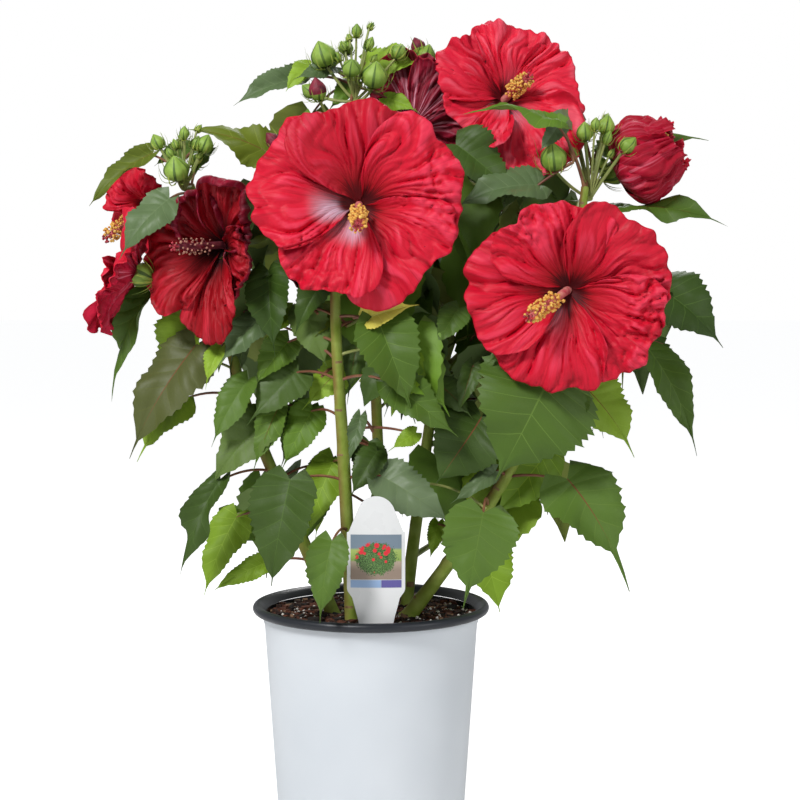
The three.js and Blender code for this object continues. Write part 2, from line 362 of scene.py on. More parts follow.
class Limb:
    # the middle line and radius of a CAD limb, read from its rings
    def __init__(self, node):
        self.node = node
        corners = sorted({tuple(round(value / mm, 2) for value in vertex.co)
                          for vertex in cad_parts[node].data.vertices})
        low, high = boxOf(node)
        size = high - low
        axis = max(range(3), key=lambda i: size[i] if i else size[i] * 0.9)
        corners.sort(key=lambda corner: corner[axis])
        rings = [[corners[0]]]
        for corner in corners[1:]:
            if corner[axis] - rings[-1][-1][axis] > limbLook["ringGap"]:
                rings.append([])
            rings[-1].append(corner)
        self.middles = [sum((Vector(corner) for corner in ring), Vector()) / len(ring) for ring in rings]
        self.radii = [
            sum((Vector(corner) - middle).length for corner in ring) / len(ring)
            for ring, middle in zip(rings, self.middles)
        ]
        self.length = sum((b - a).length for a, b in zip(self.middles, self.middles[1:]))

    def at(self, share):
        # Catmull-Rom through the ring middles
        last = len(self.middles) - 1
        place = min(max(share, 0), 0.9999) * last
        i = int(place)
        t = place - i
        a, b, c, d = (self.middles[min(max(k, 0), last)] for k in (i - 1, i, i + 1, i + 2))
        spot = (b * 2 + (c - a) * t + (a * 2 - b * 5 + c * 4 - d) * t * t
                + (b * 3 - a - c * 3 + d) * t ** 3) / 2
        return spot, mix(self.radii[i], self.radii[min(i + 1, last)], t)


limbs = {node: Limb(node) for node in limbNodes}
print("limbs read:", {name: round(limb.length) for name, limb in limbs.items()})

caneGreen = Finish("caneGreen", shade(108, 122, 42), 0.6, Specular_IOR_Level=0.16)
caneReddening = caneGreen.maths("MULTIPLY", caneGreen.mark("ruddy"), caneGreen.mottle(30, 0.35, 1.1, 4))
caneGreen.colourBy(caneGreen.blend(caneReddening, caneGreen.blend(
    caneGreen.mottle(70, 0, 1, 4), shade(122, 142, 52), shade(152, 168, 84)), shade(128, 82, 58)))
caneGreen.roughnessBy(caneGreen.mottle(60, 0.42, 0.66))
caneGreen.grain(420, 0.35, 0.0008)
scarBrown = speckled("scarBrown", (120, 92, 62), 0.8, 220, (104, 78, 52), (150, 122, 84), (500, 0.5))


def buildLimb(limb, seed):
    # bark with ridges, swollen leaf scars and a pith-closed end
    draw = random.Random(seed)
    gathered = Gathered()
    rings = max(int(limb.length / limbLook["step"]), 8)
    scars = []
    along = draw.uniform(*limbLook["firstScar"])
    while along < limb.length - 6:
        scars.append((along, draw.uniform(0, 2 * math.pi)))
        along += draw.uniform(*limbLook["internode"])
    points, slots = [], []
    gathered.marks = {"ruddy": []}
    ruddySide = draw.uniform(2.4, 3.6)
    sides = limbLook["sides"]
    top = Vector((0, 1, 0.2))
    widening, fades = limbLook["flare"]
    for i in range(rings + 1):
        share = i / rings
        spot, radius = limb.at(share)
        ahead = limb.at(min(share + 0.01, 1))[0] - limb.at(max(share - 0.01, 0))[0]
        right, upward, _ = frameFor(ahead, top)
        for k in range(sides):
            turn = 2 * math.pi * k / sides
            swell = 0
            for place, side in scars:
                away = (share * limb.length - place) / limbLook["scarReach"]
                if abs(away) < 3:
                    facing = max(math.cos(turn - side), 0) ** 1.5
                    swell += limbLook["swelling"] * math.exp(-away * away) * facing
            grain = noise.noise(Vector((math.cos(turn) * 2.4, math.sin(turn) * 2.4, share * 5 + seed)))
            ridge = limbLook["ridge"] * (math.cos(turn * 5 + share * 3) * 0.6 + grain)
            flare = widening * math.exp(-share * limb.length / fades) if limb.node.startswith("cane") else 0
            reach = radius * (1 + swell + ridge + flare)
            ruddy = smooth(-0.2, 0.9, math.cos(turn - ruddySide)) * mix(0.55, 1, share)
            gathered.marks["ruddy"].append(ruddy)
            points.append(spot + outAt(right, upward, turn) * reach)
    for i in range(rings):
        here = i / rings * limb.length
        for k in range(sides):
            turn = 2 * math.pi * (k + 0.5) / sides
            marked = any(abs(here - place) < 1.5 and math.cos(turn - side) > 0.8 for place, side in scars)
            slots.append(1 if marked else 0)
    slots += [1, 1]
    gathered.add(points, ringFaces(rings + 1, sides), slots)
    return gathered


for seed, (node, limb) in enumerate(limbs.items()):
    bark = buildLimb(limb, seed + 11).piece("bark_" + node, [caneGreen.material, scarBrown], 60)
    wear(bark, "cane_bark", node)
print("bark made")


potLook = {
    "around": 128,
    "wall": 2.2,
    "stepBelowRim": 17,    # a faint moulded step runs round the wall this far under the rim
    "stepOut": 0.9,
    "taper": 15,           # how much the foot's radius falls short of the shoulder's
    "footRing": ((-14, 3), (-12, 0.6), (-10, 0), (-3, 0), (-1, 0.8)),   # past the foot's radius, and height
    "outside": (8, 40, 80, 120, 160, 190),                              # heights of the outer wall's points
    "inside": (200, 120, 8),
    "floor": (4, 4.5),     # corner inside the wall, and height
    "rollFrom": -100,      # degrees, where the rim's roll starts, and how far it turns
    "rollTurn": 215,
    "rollSteps": 12,
    "rollWide": 0.9,
}

potWhite = Finish("potWhite", shade(222, 228, 233), 0.4, Specular_IOR_Level=0.35)
potWhite.roughnessBy(potWhite.mottle(18, 0.3, 0.42))
potWhite.colourBy(potWhite.blend(potWhite.mottle(9, 0, 1, 2), shade(217, 223, 229), shade(227, 232, 237)))
potWhite.grain(700, 0.05, 0.0003)
potBlack = Finish("potBlack", shade(40, 43, 49), 0.32, Specular_IOR_Level=0.5)
potBlack.roughnessBy(potBlack.mottle(40, 0.26, 0.44))
potBlack.grain(600, 0.12, 0.0004)


def buildPot():
    # one skin spun from the outer wall, over the rolled rim and down inside, then closed by its floor
    low, high = boxOf("pot_wall")
    rimLow, rimHigh = boxOf("pot_rim")
    shoulder = (high.x - low.x) / 2
    foot = shoulder - potLook["taper"]
    lip = high.z
    rim = (rimHigh.x - rimLow.x) / 2
    wall = potLook["wall"]
    stepAt = rimHigh.z - potLook["stepBelowRim"]

    def wallAt(z):
        return mix(foot, shoulder, z / lip)

    profile = [(0, 3)] + [(foot + past, z) for past, z in potLook["footRing"]] + [(wallAt(3), 3)]
    profile += [(wallAt(z), z) for z in (*potLook["outside"], stepAt - 2)]
    profile += [(wallAt(z) + potLook["stepOut"], z) for z in (stepAt, lip - 2)]
    profile.append((wallAt(lip) + potLook["stepOut"], lip + 0.2))
    inner = [(wallAt(z) - wall, z) for z in (lip + 1, *potLook["inside"])]
    corner, floor = potLook["floor"]
    inner += [(foot - wall - corner, floor), (0, floor)]
    middle = (rimHigh.z + rimLow.z) / 2
    roll = (rimHigh.z - rimLow.z) / 2
    wide = potLook["rollWide"]
    curl = []
    for k in range(potLook["rollSteps"] + 1):
        turn = math.radians(potLook["rollFrom"] + potLook["rollTurn"] * k / potLook["rollSteps"])
        curl.append((rim - roll * wide + math.cos(turn) * roll * wide, middle + math.sin(turn) * roll))
    underRim = (shoulder + 1.2, rimLow.z + 0.3)
    rimOutline = [underRim, *curl, (rim - 9, rimHigh.z - 2.6), (shoulder - wall, rimLow.z + 1), underRim]
    for name, outline, material, slot, node in (
        ("potWall", profile + inner, potWhite.material, "pot_white", "pot_wall"),
        ("potRim", rimOutline, potBlack.material, "rim_black", "pot_rim"),
    ):
        mesh = bpy.data.meshes.new(name)
        mesh.from_pydata(
            [(radius * mm, 0, z * mm) for radius, z in outline],
            [(i, i + 1) for i in range(len(outline) - 1)],
            [],
        )
        thing = bpy.data.objects.new(name, mesh)
        bpy.context.collection.objects.link(thing)
        selectOnly(thing)
        bpy.ops.object.mode_set(mode="EDIT")
        bpy.ops.mesh.select_all(action="SELECT")
        bpy.ops.mesh.spin(steps=potLook["around"], angle=2 * math.pi, center=(0, 0, 0), axis=(0, 0, 1))
        bpy.ops.mesh.select_all(action="SELECT")
        bpy.ops.mesh.remove_doubles(threshold=0.00002)
        bpy.ops.mesh.normals_make_consistent(inside=False)
        bpy.ops.object.mode_set(mode="OBJECT")
        thing.data.materials.append(material)
        bpy.ops.object.shade_smooth_by_angle(angle=math.radians(38))
        wear(thing, slot, node)
        if name == "potWall":
            thing.data.materials.append(potBlack.material)
            for face in thing.data.polygons:
                centre = face.center / mm
                radius = math.hypot(centre.x, centre.y)
                if radius < wallAt(max(centre.z, 0)) - 1.2 and centre.z > 3.5:
                    face.material_index = 1


buildPot()
print("pot made")

soilLook = {
    "rings": 34,
    "spokes": 96,
    "footIn": 13,
    "relief": ((1.2, 26, 3), (0.6, 8, 9)),    # how strong and how wide the bed's unevenness is, and its seed
    "heave": 5.5,
    "raise": 3.5,          # how far the loose chips' bed stands over the plain solid
    "chips": 2000,
    "chipSize": (3.0, 12.0),
    "chipWide": (0.25, 0.42),
    "chipThick": (0.08, 0.22),
    "chipTilt": 0.5,
    "chipColours": (0, 0, 0, 1, 1, 1, 2, 3, 3),
    "perlite": 420,
    "perliteSize": (0.7, 1.9),
    "perliteRough": (0.7, 1.15),
}

soilBase = speckled("soilBase", (52, 36, 28), 0.95, 260, (30, 22, 18), (82, 58, 44), (900, 0.8, 0.002), 6)
chipLooks = [speckled(name, dark, 0.85, 320, dark, pale, (800, 0.6, 0.001)) for name, dark, pale in (
    ("barkDark", (40, 24, 18), (62, 38, 28)),
    ("barkRed", (74, 40, 28), (104, 60, 42)),
    ("barkPale", (104, 76, 56), (140, 110, 86)),
    ("barkBlack", (22, 16, 14), (36, 26, 22)),
)]
perliteWhite = Finish("perliteWhite", shade(226, 222, 214), 0.9)
perliteWhite.grain(900, 0.6, 0.001)


# one small ball, which perlite, anthers and stigmas share
ballMesh = bmesh.new()
bmesh.ops.create_icosphere(ballMesh, subdivisions=1, radius=1)
ballPoints = [vertex.co.copy() for vertex in ballMesh.verts]
ballFaces = [tuple(vertex.index for vertex in face.verts) for face in ballMesh.faces]
ballMesh.free()


def soilHeight(x, y, top):
    away = math.hypot(x, y)
    lift = 0
    for much, wide, salt in soilLook["relief"]:
        lift += much * noise.noise(Vector((x / wide, y / wide, salt)))
    return top + soilLook["raise"] + lift * soilLook["heave"] * 0.5 - 2 * smooth(80, 100, away)


chipFaces = [(3, 2, 1, 0), (4, 5, 6, 7), (0, 1, 5, 4), (1, 2, 6, 5), (2, 3, 7, 6), (3, 0, 4, 7)]


def scattered(draw, radius):
    # an even random place on the bed
    turn, away = draw.uniform(0, 2 * math.pi), radius * math.sqrt(draw.uniform(0.0, 0.97))
    return math.cos(turn) * away, math.sin(turn) * away


def buildSoil():
    # an uneven bed, bark chips in four colours and small white beads of perlite
    low, high = boxOf("soil")
    radius = (high.x - low.x) / 2 - 0.2
    top = high.z
    gathered = Gathered()
    rings, spokes = soilLook["rings"], soilLook["spokes"]
    points, faces = [Vector((0, 0, soilHeight(0, 0, top)))], []
    for i in range(1, rings + 1):
        for k in range(spokes):
            turn = 2 * math.pi * k / spokes
            x, y = math.cos(turn) * radius * i / rings, math.sin(turn) * radius * i / rings
            points.append(Vector((x, y, soilHeight(x, y, top))))
    for k in range(spokes):
        faces.append((0, 1 + k, 1 + (k + 1) % spokes))
    for i in range(rings - 1):
        for k in range(spokes):
            a, b = 1 + i * spokes + k, 1 + i * spokes + (k + 1) % spokes
            faces.append((a, a + spokes, b + spokes, b))
    first = len(points)
    footRadius = radius - soilLook["footIn"]
    for k in range(spokes):
        turn = 2 * math.pi * k / spokes
        points.append(Vector((math.cos(turn) * footRadius, math.sin(turn) * footRadius, low.z)))
    last = 1 + (rings - 1) * spokes
    for k in range(spokes):
        nxt = (k + 1) % spokes
        faces.append((last + k, first + k, first + nxt, last + nxt))
    faces.append(tuple(first + k for k in range(spokes))[::-1])
    gathered.add(points, faces)
    wear(gathered.piece("soilBed", [soilBase], 60), "potting_mix", "soil")

    draw = random.Random(5)
    chips = Gathered()
    for i in range(soilLook["chips"]):
        x, y = scattered(draw, radius)
        size = draw.uniform(*soilLook["chipSize"]) * draw.uniform(0.5, 1)
        wide, thick = draw.uniform(*soilLook["chipWide"]), draw.uniform(*soilLook["chipThick"])
        half = Vector((size / 2, size * wide, size * thick))
        turned = Matrix.Rotation(draw.uniform(0, 6.3), 3, "Z")
        turned = turned @ Matrix.Rotation(draw.uniform(-soilLook["chipTilt"], soilLook["chipTilt"]), 3, "X")
        middle = Vector((x, y, soilHeight(x, y, top) + half.z * draw.uniform(0.2, 1.6)))
        corners = []
        for sz in (-1, 1):
            for sx, sy in ((-1, -1), (1, -1), (1, 1), (-1, 1)):
                broken = (draw.uniform(0.6, 1), draw.uniform(0.5, 1), draw.uniform(0.6, 1))
                jitter = Vector(a * b for a, b in zip((sx, sy, sz), broken))
                corners.append(middle + turned @ Vector(a * b for a, b in zip(half, jitter)))
        chips.add(corners, chipFaces, draw.choice(soilLook["chipColours"]))
    wear(chips.piece("barkChips", chipLooks, 20), "potting_mix")

    beads = Gathered()
    for i in range(soilLook["perlite"]):
        x, y = scattered(draw, radius)
        size = draw.uniform(*soilLook["perliteSize"])
        middle = Vector((x, y, soilHeight(x, y, top) + size * 0.8))
        rough = soilLook["perliteRough"]
        beads.add([middle + corner * size * draw.uniform(*rough) for corner in ballPoints], ballFaces)
    wear(beads.piece("perlite", [perliteWhite.material], 50), "potting_mix")


buildSoil()
print("soil made")

labelLook = {
    "thick": 0.5,
    "columns": 12,
    "bow": 0.0022,         # how far the sides stand back, for each square millimetre across
    "leanBack": 0.00035,
    "crown": 17.4,         # radius of the round top
    "crownSteps": 9,
    "crownTurn": (87, 22),     # degrees that the round top runs between
    "panelRows": 6,
    # how far below the top, and half as wide as the tag there
    "outline": ((31.8, 24.6), (32.6, 26.3), (83.5, 26.3), (86, 25.6), (91.8, 21.5), (111, 16.4)),
    "stemHalf": 13.5,
    # name, ink, how far below the top it starts and ends, and its left and right sides
    "panels": (
        ("labelPicture", "picture", (34.5, 75), (-23, 23)),
        ("labelBand", "blue", (75.6, 82.4), (-23, 4.6)),
        ("labelStrip", "violet", (75.6, 82.4), (4.8, 23)),
    ),
    "panelLift": 0.14,
}

tagWhite = Finish("tagWhite", shade(228, 229, 229), 0.45, Specular_IOR_Level=0.3)
tagWhite.roughnessBy(tagWhite.mottle(50, 0.24, 0.4))
tagWhite.grain(500, 0.04, 0.0003)
labelInks = {
    "picture": Finish("inkPicture", shade(92, 120, 70), 0.35),
    "blue": Finish("inkBlue", shade(150, 178, 216), 0.35),
    "violet": Finish("inkViolet", shade(98, 92, 156), 0.35),
}
for ink in labelInks.values():
    ink.roughnessBy(ink.mottle(60, 0.3, 0.42))


def paintPicture(ink):
    # a plain picture of a round red-flowered bush on bare ground, with lawn and a pale sky behind
    low, high = boxOf("plant_label")
    bush = Vector(((low.x + high.x) / 2, 0, high.z - 56)) * mm
    mapping = ink.nodes.new("ShaderNodeMapping")
    mapping.vector_type = "TEXTURE"
    mapping.inputs["Location"].default_value = bush
    mapping.inputs["Scale"].default_value = (0.02, 10, 0.016)
    ink.link(ink.objectPlace(), mapping.inputs["Vector"])
    away = ink.nodes.new("ShaderNodeVectorMath")
    away.operation = "LENGTH"
    ink.link(mapping.outputs["Vector"], away.inputs[0])
    split = ink.nodes.new("ShaderNodeSeparateXYZ")
    ink.link(mapping.outputs["Vector"], split.inputs["Vector"])
    height = split.outputs["Z"]
    rough = ink.maths("ADD", away.outputs["Value"], ink.mottle(700, -0.14, 0.14, 2))
    inside = ink.ramp(rough, [(0.88, (1, 1, 1, 1)), (0.94, (0, 0, 0, 1))])
    leaves = ink.ramp(ink.mottle(1500, 0, 1, 3), [(0.2, shade(28, 52, 30)), (0.8, shade(112, 150, 84))])
    blooms = ink.nodes.new("ShaderNodeTexVoronoi")
    blooms.inputs["Scale"].default_value = 190
    ink.link(ink.objectPlace(), blooms.inputs["Vector"])
    spots = ink.ramp(ink.maths("SUBTRACT", blooms.outputs["Distance"], ink.maths("MULTIPLY", height, 0.3)), [
        (0.3, (1, 1, 1, 1)), (0.36, (0, 0, 0, 1))])
    bushes = ink.blend(spots, leaves, shade(222, 50, 62))
    ground = ink.ramp(ink.maths("ADD", ink.maths("MULTIPLY", height, 0.3), 0.5), [
        (0.3, shade(150, 132, 118)), (0.44, shade(178, 160, 142)), (0.47, shade(140, 168, 84)),
        (0.64, shade(166, 186, 104)), (0.68, shade(120, 136, 150))])
    ink.colourBy(ink.blend(inside, ground, bushes))


paintPicture(labelInks["picture"])


def labelPlate(name, materials, rows, lift=0.0):
    # a thin closed plate from rows of (below the top, left, right), bowed and leaning back like the tag
    low, high = boxOf("plant_label")
    middle = (low + high) / 2
    columns = labelLook["columns"]
    thick = lift or labelLook["thick"]
    face = middle.y - labelLook["thick"] / 2 - lift
    front, back = [], []
    for below, left, right in rows:
        for k in range(columns + 1):
            x = mix(left, right, k / columns)
            z = high.z - below
            y = face + labelLook["bow"] * x * x + labelLook["leanBack"] * (z - low.z) ** 2
            front.append(Vector((middle.x + x, y, z)))
            back.append(Vector((middle.x + x, y + thick, z)))
    wide = columns + 1
    count = len(rows)
    other = len(front)
    faces = []
    for i in range(count - 1):
        for k in range(columns):
            a = i * wide + k
            faces.append((a, a + wide, a + wide + 1, a + 1))
            faces.append((other + a, other + a + 1, other + a + wide + 1, other + a + wide))
        for k, flip in ((0, False), (columns, True)):
            a = i * wide + k
            edge = (a, other + a, other + a + wide, a + wide)
            faces.append(edge[::-1] if flip else edge)
    for i, flip in ((0, True), (count - 1, False)):
        for k in range(columns):
            a = i * wide + k
            edge = (a, other + a, other + a + 1, a + 1)
            faces.append(edge[::-1] if flip else edge)
    gathered = Gathered()
    gathered.add(front + back, faces)
    return gathered.piece(name, materials, 40)


def buildLabel():
    low, high = boxOf("plant_label")
    crown = labelLook["crown"]
    rows = []
    for k in range(labelLook["crownSteps"] + 1):
        turn = math.radians(mix(*labelLook["crownTurn"], k / labelLook["crownSteps"]))
        rows.append((crown * (1 - math.sin(turn)), -crown * math.cos(turn), crown * math.cos(turn)))
    rows += [(below, -half, half) for below, half in labelLook["outline"]]
    rows.append((high.z - low.z, -labelLook["stemHalf"], labelLook["stemHalf"]))
    wear(labelPlate("labelTag", [tagWhite.material], rows), "label_plastic", "plant_label")
    for name, ink, (start, end), (left, right) in labelLook["panels"]:
        count = labelLook["panelRows"]
        rows = [(mix(start, end, k / count), left, right) for k in range(count + 1)]
        panel = labelPlate(name, [labelInks[ink].material], rows, labelLook["panelLift"])
        wear(panel, "label_plastic")


buildLabel()
print("label made")

petalLook = {
    "halfSpan": 61,        # degrees that one petal reaches each side of its middle
    "lap": 8.0,            # how far one side stands over the next petal, in mm
    "folds": ((3.4, 5.6, 1.2), (8.5, 2.6, 1.8), (19.0, 0.6, 1.8)),   # how many, how deep, how broken
    "swerve": 0.3,         # how far folds stray from a straight line
    "crown": (3.2, 0.6),   # how steeply a fold rises from its groove, and how flat it is on top
    "shoulder": 0.5,       # how much shorter the petal is at its sides
    "ruffle": 6.2,
    "recurve": 7,          # how far the rim bends back
    "rollFrom": 0.78,
    "thickness": 0.5,
    "crumpleSize": 0.075,
    # uneven rim: how deep, how many, their seed, and how close to the rim they stay
    "nicks": ((0.1, 2.2, 1, 1), (0.05, 5, 5, 3), (0.02, 13, 8, 5)),
}

# each bloom's glare entry lists where a pale painted glare lies near the throat: degrees round the bloom,
# width and strength
blooms = {
    "bloom_front": {
        "size": (188, 184), "cup": 34, "facing": (-0.03, -1, 0.02), "turn": 20, "column": 33,
        "lean": (0.02, -1, -0.5), "front": "red", "back": "back", "grid": (44, 122),
        "crumples": ((10, 30, 3.4), (232, 26, 2.8)), "paintedGlare": ((196, 26, 0.9), (262, 22, 0.8)),
        "shades": (0, 0.3, 0, 0, 0), "long": (1.0, 0.98, 1.0, 0.97, 1.02),
    },
    "bloom_right": {
        "size": (178, 168), "cup": 32, "facing": (-0.1, -0.97, -0.12), "turn": 34, "column": 46,
        "lean": (-0.62, -0.7, -0.34), "front": "red", "back": "back", "grid": (44, 122),
        "crumples": ((340, 34, 4.4), (118, 18, 3.4)), "paintedGlare": ((250, 14, 0.2),),
        "shades": (0.12, 0, 0, 0, 0), "long": (1.0, 0.96, 1.0, 1.0, 1.0),
    },
    "bloom_top": {
        # its front is the red made lighter: painted light, as if more strongly lit
        "size": (138, 142), "cup": 30, "facing": (0.1, -0.92, 0.3), "turn": -2, "column": 20,
        "lean": (0.55, -0.7, 0.36), "front": "redLit", "back": "back", "grid": (38, 104),
        "crumples": ((285, 34, 3.8),), "paintedGlare": ((60, 40, 0.1), (270, 40, 0.35)),
        "shades": (0, 0, 0.15, 0, 0), "rim": (0, 0, 2, 8, 16), "long": (1.0, 0.91, 0.98, 0.92, 1.34),
    },
    "bloom_left_wilting": {
        "size": (112, 166), "cup": 44, "facing": (-0.3, -0.94, -0.06), "turn": 48, "column": 24,
        "shift": (8, 0, 7), "lean": (-0.8, -0.6, -0.02), "front": "dark", "back": "back", "grid": (36, 88),
        "worn": True,
        "crumples": ((20, 40, 4.0), (330, 30, 3.4)), "rolls": (0.9, 0.9, 0.2, 0.0, 0.5), "ruffle": 1.5,
        "long": (1.04, 0.82, 1.26, 1.1, 0.84), "shades": (0.2, 0.4, 0.1, 0, 0.2), "point": 0.24,
        "swerve": 0.14,
    },
    "bloom_far_left": {
        "size": (84, 132), "cup": 20, "facing": (-0.92, 0.12, 0.32), "turn": 100, "column": 4,
        "shift": (4, 0, 13), "lean": (-0.9, 0.1, 0.1), "front": "red", "back": "crimson",
        "grid": (28, 60), "ruffle": 1.3,
    },
    "bloom_left_rear": {
        "size": (72, 84), "cup": 26, "facing": (-0.5, -0.8, -0.3), "turn": 50, "column": 34,
        "shift": (2, 0, 4), "lean": (-0.75, -0.35, -0.7), "front": "red", "back": "crimson",
        "grid": (28, 60), "ruffle": 1.0,
    },
    "bloom_behind_front": {
        "size": (112, 134), "cup": 36, "facing": (0.3, 0.86, 0.34), "turn": 0, "column": 16,
        "shift": (3, 0, 0), "lean": (0.15, 0.88, 0.42), "front": "dark", "back": "back",
        "grid": (30, 72), "ruffle": 0.8,
    },
    "bloom_half_open": {
        "size": (72, 72), "cup": 60, "facing": (0.84, -0.22, 0.4), "turn": 20, "column": 4,
        "shift": (2, 0, 4), "lean": (0.62, -0.28, 0.62), "front": "red", "back": "crimson",
        "grid": (34, 60), "ruffle": 0.9, "crumples": ((0, 400, 4.6),), "bowl": 1.5,
    },
    "bloom_back_left": {
        "size": (172, 168), "cup": 32, "facing": (-0.2, 0.96, 0.1), "turn": 26, "column": 30,
        "lean": (-0.3, 0.9, 0.25), "front": "red", "back": "back", "grid": (34, 80),
        "crumples": ((40, 30, 2.6),),
    },
    "bloom_back_right": {
        "size": (166, 162), "cup": 32, "facing": (0.32, 0.92, 0.04), "turn": 60, "column": 30,
        "lean": (0.2, 0.95, 0.2), "front": "red", "back": "back", "grid": (34, 80),
        "crumples": ((200, 30, 2.6),),
    },
}


def petalFinish(name, *colours):
    # the place along the petal gives the eye and throat; the folds give painted shade in the grooves and
    # painted highlights on the crests, and a pale painted glare lies near the throat
    eye, throat, shadeAndVeinRed, body, crest = (shade(*colour) for colour in colours)
    finish = Finish(name, body, 0.55, Specular_IOR_Level=0.28)
    split = finish.nodes.new("ShaderNodeSeparateXYZ")
    finish.link(finish.petalPlace(), split.inputs["Vector"])
    along = split.outputs["Y"]
    streaks = finish.mottle(1, -0.09, 0.09, 3, finish.petalPlace((46, 2.4, 1)))
    fine = finish.mottle(1, -0.09, 0.09, 3, finish.petalPlace((34, 2.2, 1)))
    folds = finish.maths("ADD", finish.mark("fold"), fine)
    # painted shade in the grooves and painted highlight on the crests
    foldShading = finish.ramp(folds, [(0.14, shadeAndVeinRed), (0.44, body), (0.78, body), (1.0, crest)])
    ground = finish.ramp(finish.maths("ADD", along, streaks), [(0.0, eye), (0.13, eye), (0.25, throat)])
    opened = finish.ramp(finish.maths("ADD", along, streaks), [(0.17, (0, 0, 0, 1)), (0.46, (1, 1, 1, 1))])
    colour = finish.blend(opened, ground, foldShading)
    lines = finish.maths("MAXIMUM", finish.mottle(1, -1.5, 1.0, 2, finish.petalPlace((70, 1.5, 1))), 0.0)
    colour = finish.blend(finish.maths("MULTIPLY", lines, 0.35), colour, shadeAndVeinRed)
    colour = finish.blend(finish.mark("darker"), colour, shadeAndVeinRed)
    # a pale painted glare near the throat, in streaks
    glareStreaks = finish.mottle(1, 0.45, 1.25, 4, finish.petalPlace((60, 3, 1)))
    paintedGlare = finish.maths("MULTIPLY", finish.mark("paintedGlare"), glareStreaks)
    finish.colourBy(finish.blend(paintedGlare, colour, shade(214, 186, 206)))
    finish.roughnessBy(finish.mottle(1, 0.46, 0.64, 2, finish.petalPlace((20, 6, 1))))
    finish.grain(1, 0.3, 0.0012, finish.petalPlace((150, 18, 1)))
    return finish.material


def petalBackFinish(name, *colours):
    # the outside of a petal: duller, with painted shade along its folds, and pale veins that fan out from its
    # foot
    foldShadeRed, body, vein = (shade(*colour) for colour in colours)
    finish = Finish(name, body, 0.6, Specular_IOR_Level=0.25)
    split = finish.nodes.new("ShaderNodeSeparateXYZ")
    finish.link(finish.petalPlace(), split.inputs["Vector"])
    patches = finish.mottle(1, -0.3, 0.3, 3, finish.petalPlace((16, 5, 1)))
    folds = finish.maths("ADD", finish.mark("fold"), patches)
    ground = finish.ramp(folds, [(0.1, body), (0.95, foldShadeRed)])
    lines = finish.maths("MAXIMUM", finish.mottle(1, -1.6, 1.5, 2, finish.petalPlace((34, 0.9, 1))), 0.0)
    fading = finish.ramp(split.outputs["Y"], [(0.1, (1, 1, 1, 1)), (0.95, (0.1, 0.1, 0.1, 1))])
    finish.colourBy(finish.blend(finish.maths("MULTIPLY", lines, fading), ground, vein))
    finish.roughnessBy(finish.mottle(1, 0.5, 0.68, 2, finish.petalPlace((20, 6, 1))))
    finish.grain(1, 0.35, 0.0012, finish.petalPlace((120, 16, 1)))
    return finish.material


petalFinishes = {
    "red": petalFinish("petalRed", (70, 2, 16), (158, 4, 22), (134, 4, 24), (206, 22, 50), (222, 50, 76)),
    # the red made lighter, as painted light for the top bloom
    "redLit": petalFinish("petalRedLit", (76, 4, 20), (196, 20, 46), (162, 16, 40), (222, 36, 62),
                        (234, 80, 100)),
    "dark": petalFinish("petalDark", (28, 2, 10), (84, 2, 10), (52, 0, 10), (160, 10, 28), (196, 40, 56)),
    "back": petalBackFinish("petalBack", (104, 8, 32), (160, 24, 54), (214, 140, 158)),
    "crimson": petalBackFinish("petalCrimson", (160, 10, 40), (210, 32, 68), (224, 112, 134)),
}
columnRose = speckled("columnRose", (214, 104, 112), 0.5, 180, (196, 66, 84), (230, 150, 136))
columnDark = speckled("columnDark", (96, 24, 44), 0.6, 180, (70, 14, 32), (140, 60, 70))
antherYellow = speckled("antherYellow", (236, 184, 72), 0.75, 500, (214, 132, 44), (246, 212, 112),
                        (1400, 0.5, 0.0008))
antherFaded = speckled("antherFaded", (176, 112, 96), 0.8, 500, (128, 60, 66), (206, 158, 128))
stigmaRed = speckled("stigmaRed", (160, 24, 46), 0.6, 500, (110, 10, 30), (206, 70, 84))
calyxGreen = speckled("calyxGreen", (116, 144, 62), 0.55, 90, (112, 146, 52), (152, 182, 78), (600, 0.25))
calyxStripe = speckled("calyxStripe", (60, 84, 40), 0.6, 120, (66, 92, 38), (92, 120, 50))
bractGreen = speckled("bractGreen", (120, 144, 64), 0.6, 60, (96, 126, 52), (182, 194, 84))


def bloomPlace(node, look):
    # the middle of the open mouth: half the cup's depth ahead of the middle of the node's box
    low, high = boxOf(node)
    ahead = Vector(look["facing"]).normalized()
    middle = (low + high) / 2 + Vector(look.get("shift", (0, 0, 0)))
    return middle + ahead * (min(look["cup"], 40) * 0.5 - 4), ahead


def foldsAt(u, v, offset, swerve):
    # rounded crowns with sharp grooves between them: height in mm, and the share for the colour, a painted
    # shade that is darker in the grooves and paler on the crowns
    height, foldShade = 0, 1
    drift = swerve * noise.noise(Vector((u * 1.6, v * 2.2, offset)))
    steep, flat = petalLook["crown"]
    for (count, depth, broken), least in zip(petalLook["folds"], (0.36, 0.55, 0.85)):
        value = noise.noise(Vector(((u + drift) * count, v * broken, offset + count)))
        crown = min(abs(value) * steep, 1) ** flat
        height += depth * (crown - 0.5)
        foldShade *= mix(least, 1, crown)
    return height, foldShade


def apart(degrees, where, width):
    # how far one place round the bloom lies from another, in widths
    return ((degrees - where + 180) % 360 - 180) / width


def petalEdge(look, petal, u, v, offset):
    # how far the petal reaches along one line, as a share
    edge = 1 - petalLook["shoulder"] * abs(u) ** 5.5 - look.get("point", 0) * abs(u) ** 1.4
    for much, often, salt, rise in petalLook["nicks"]:
        edge += much * noise.noise(Vector((u * often, offset, salt))) * v ** rise
    if look.get("bowl"):
        edge = mix(1, edge, 0.2)
    return edge * look.get("long", (1,) * 5)[petal]


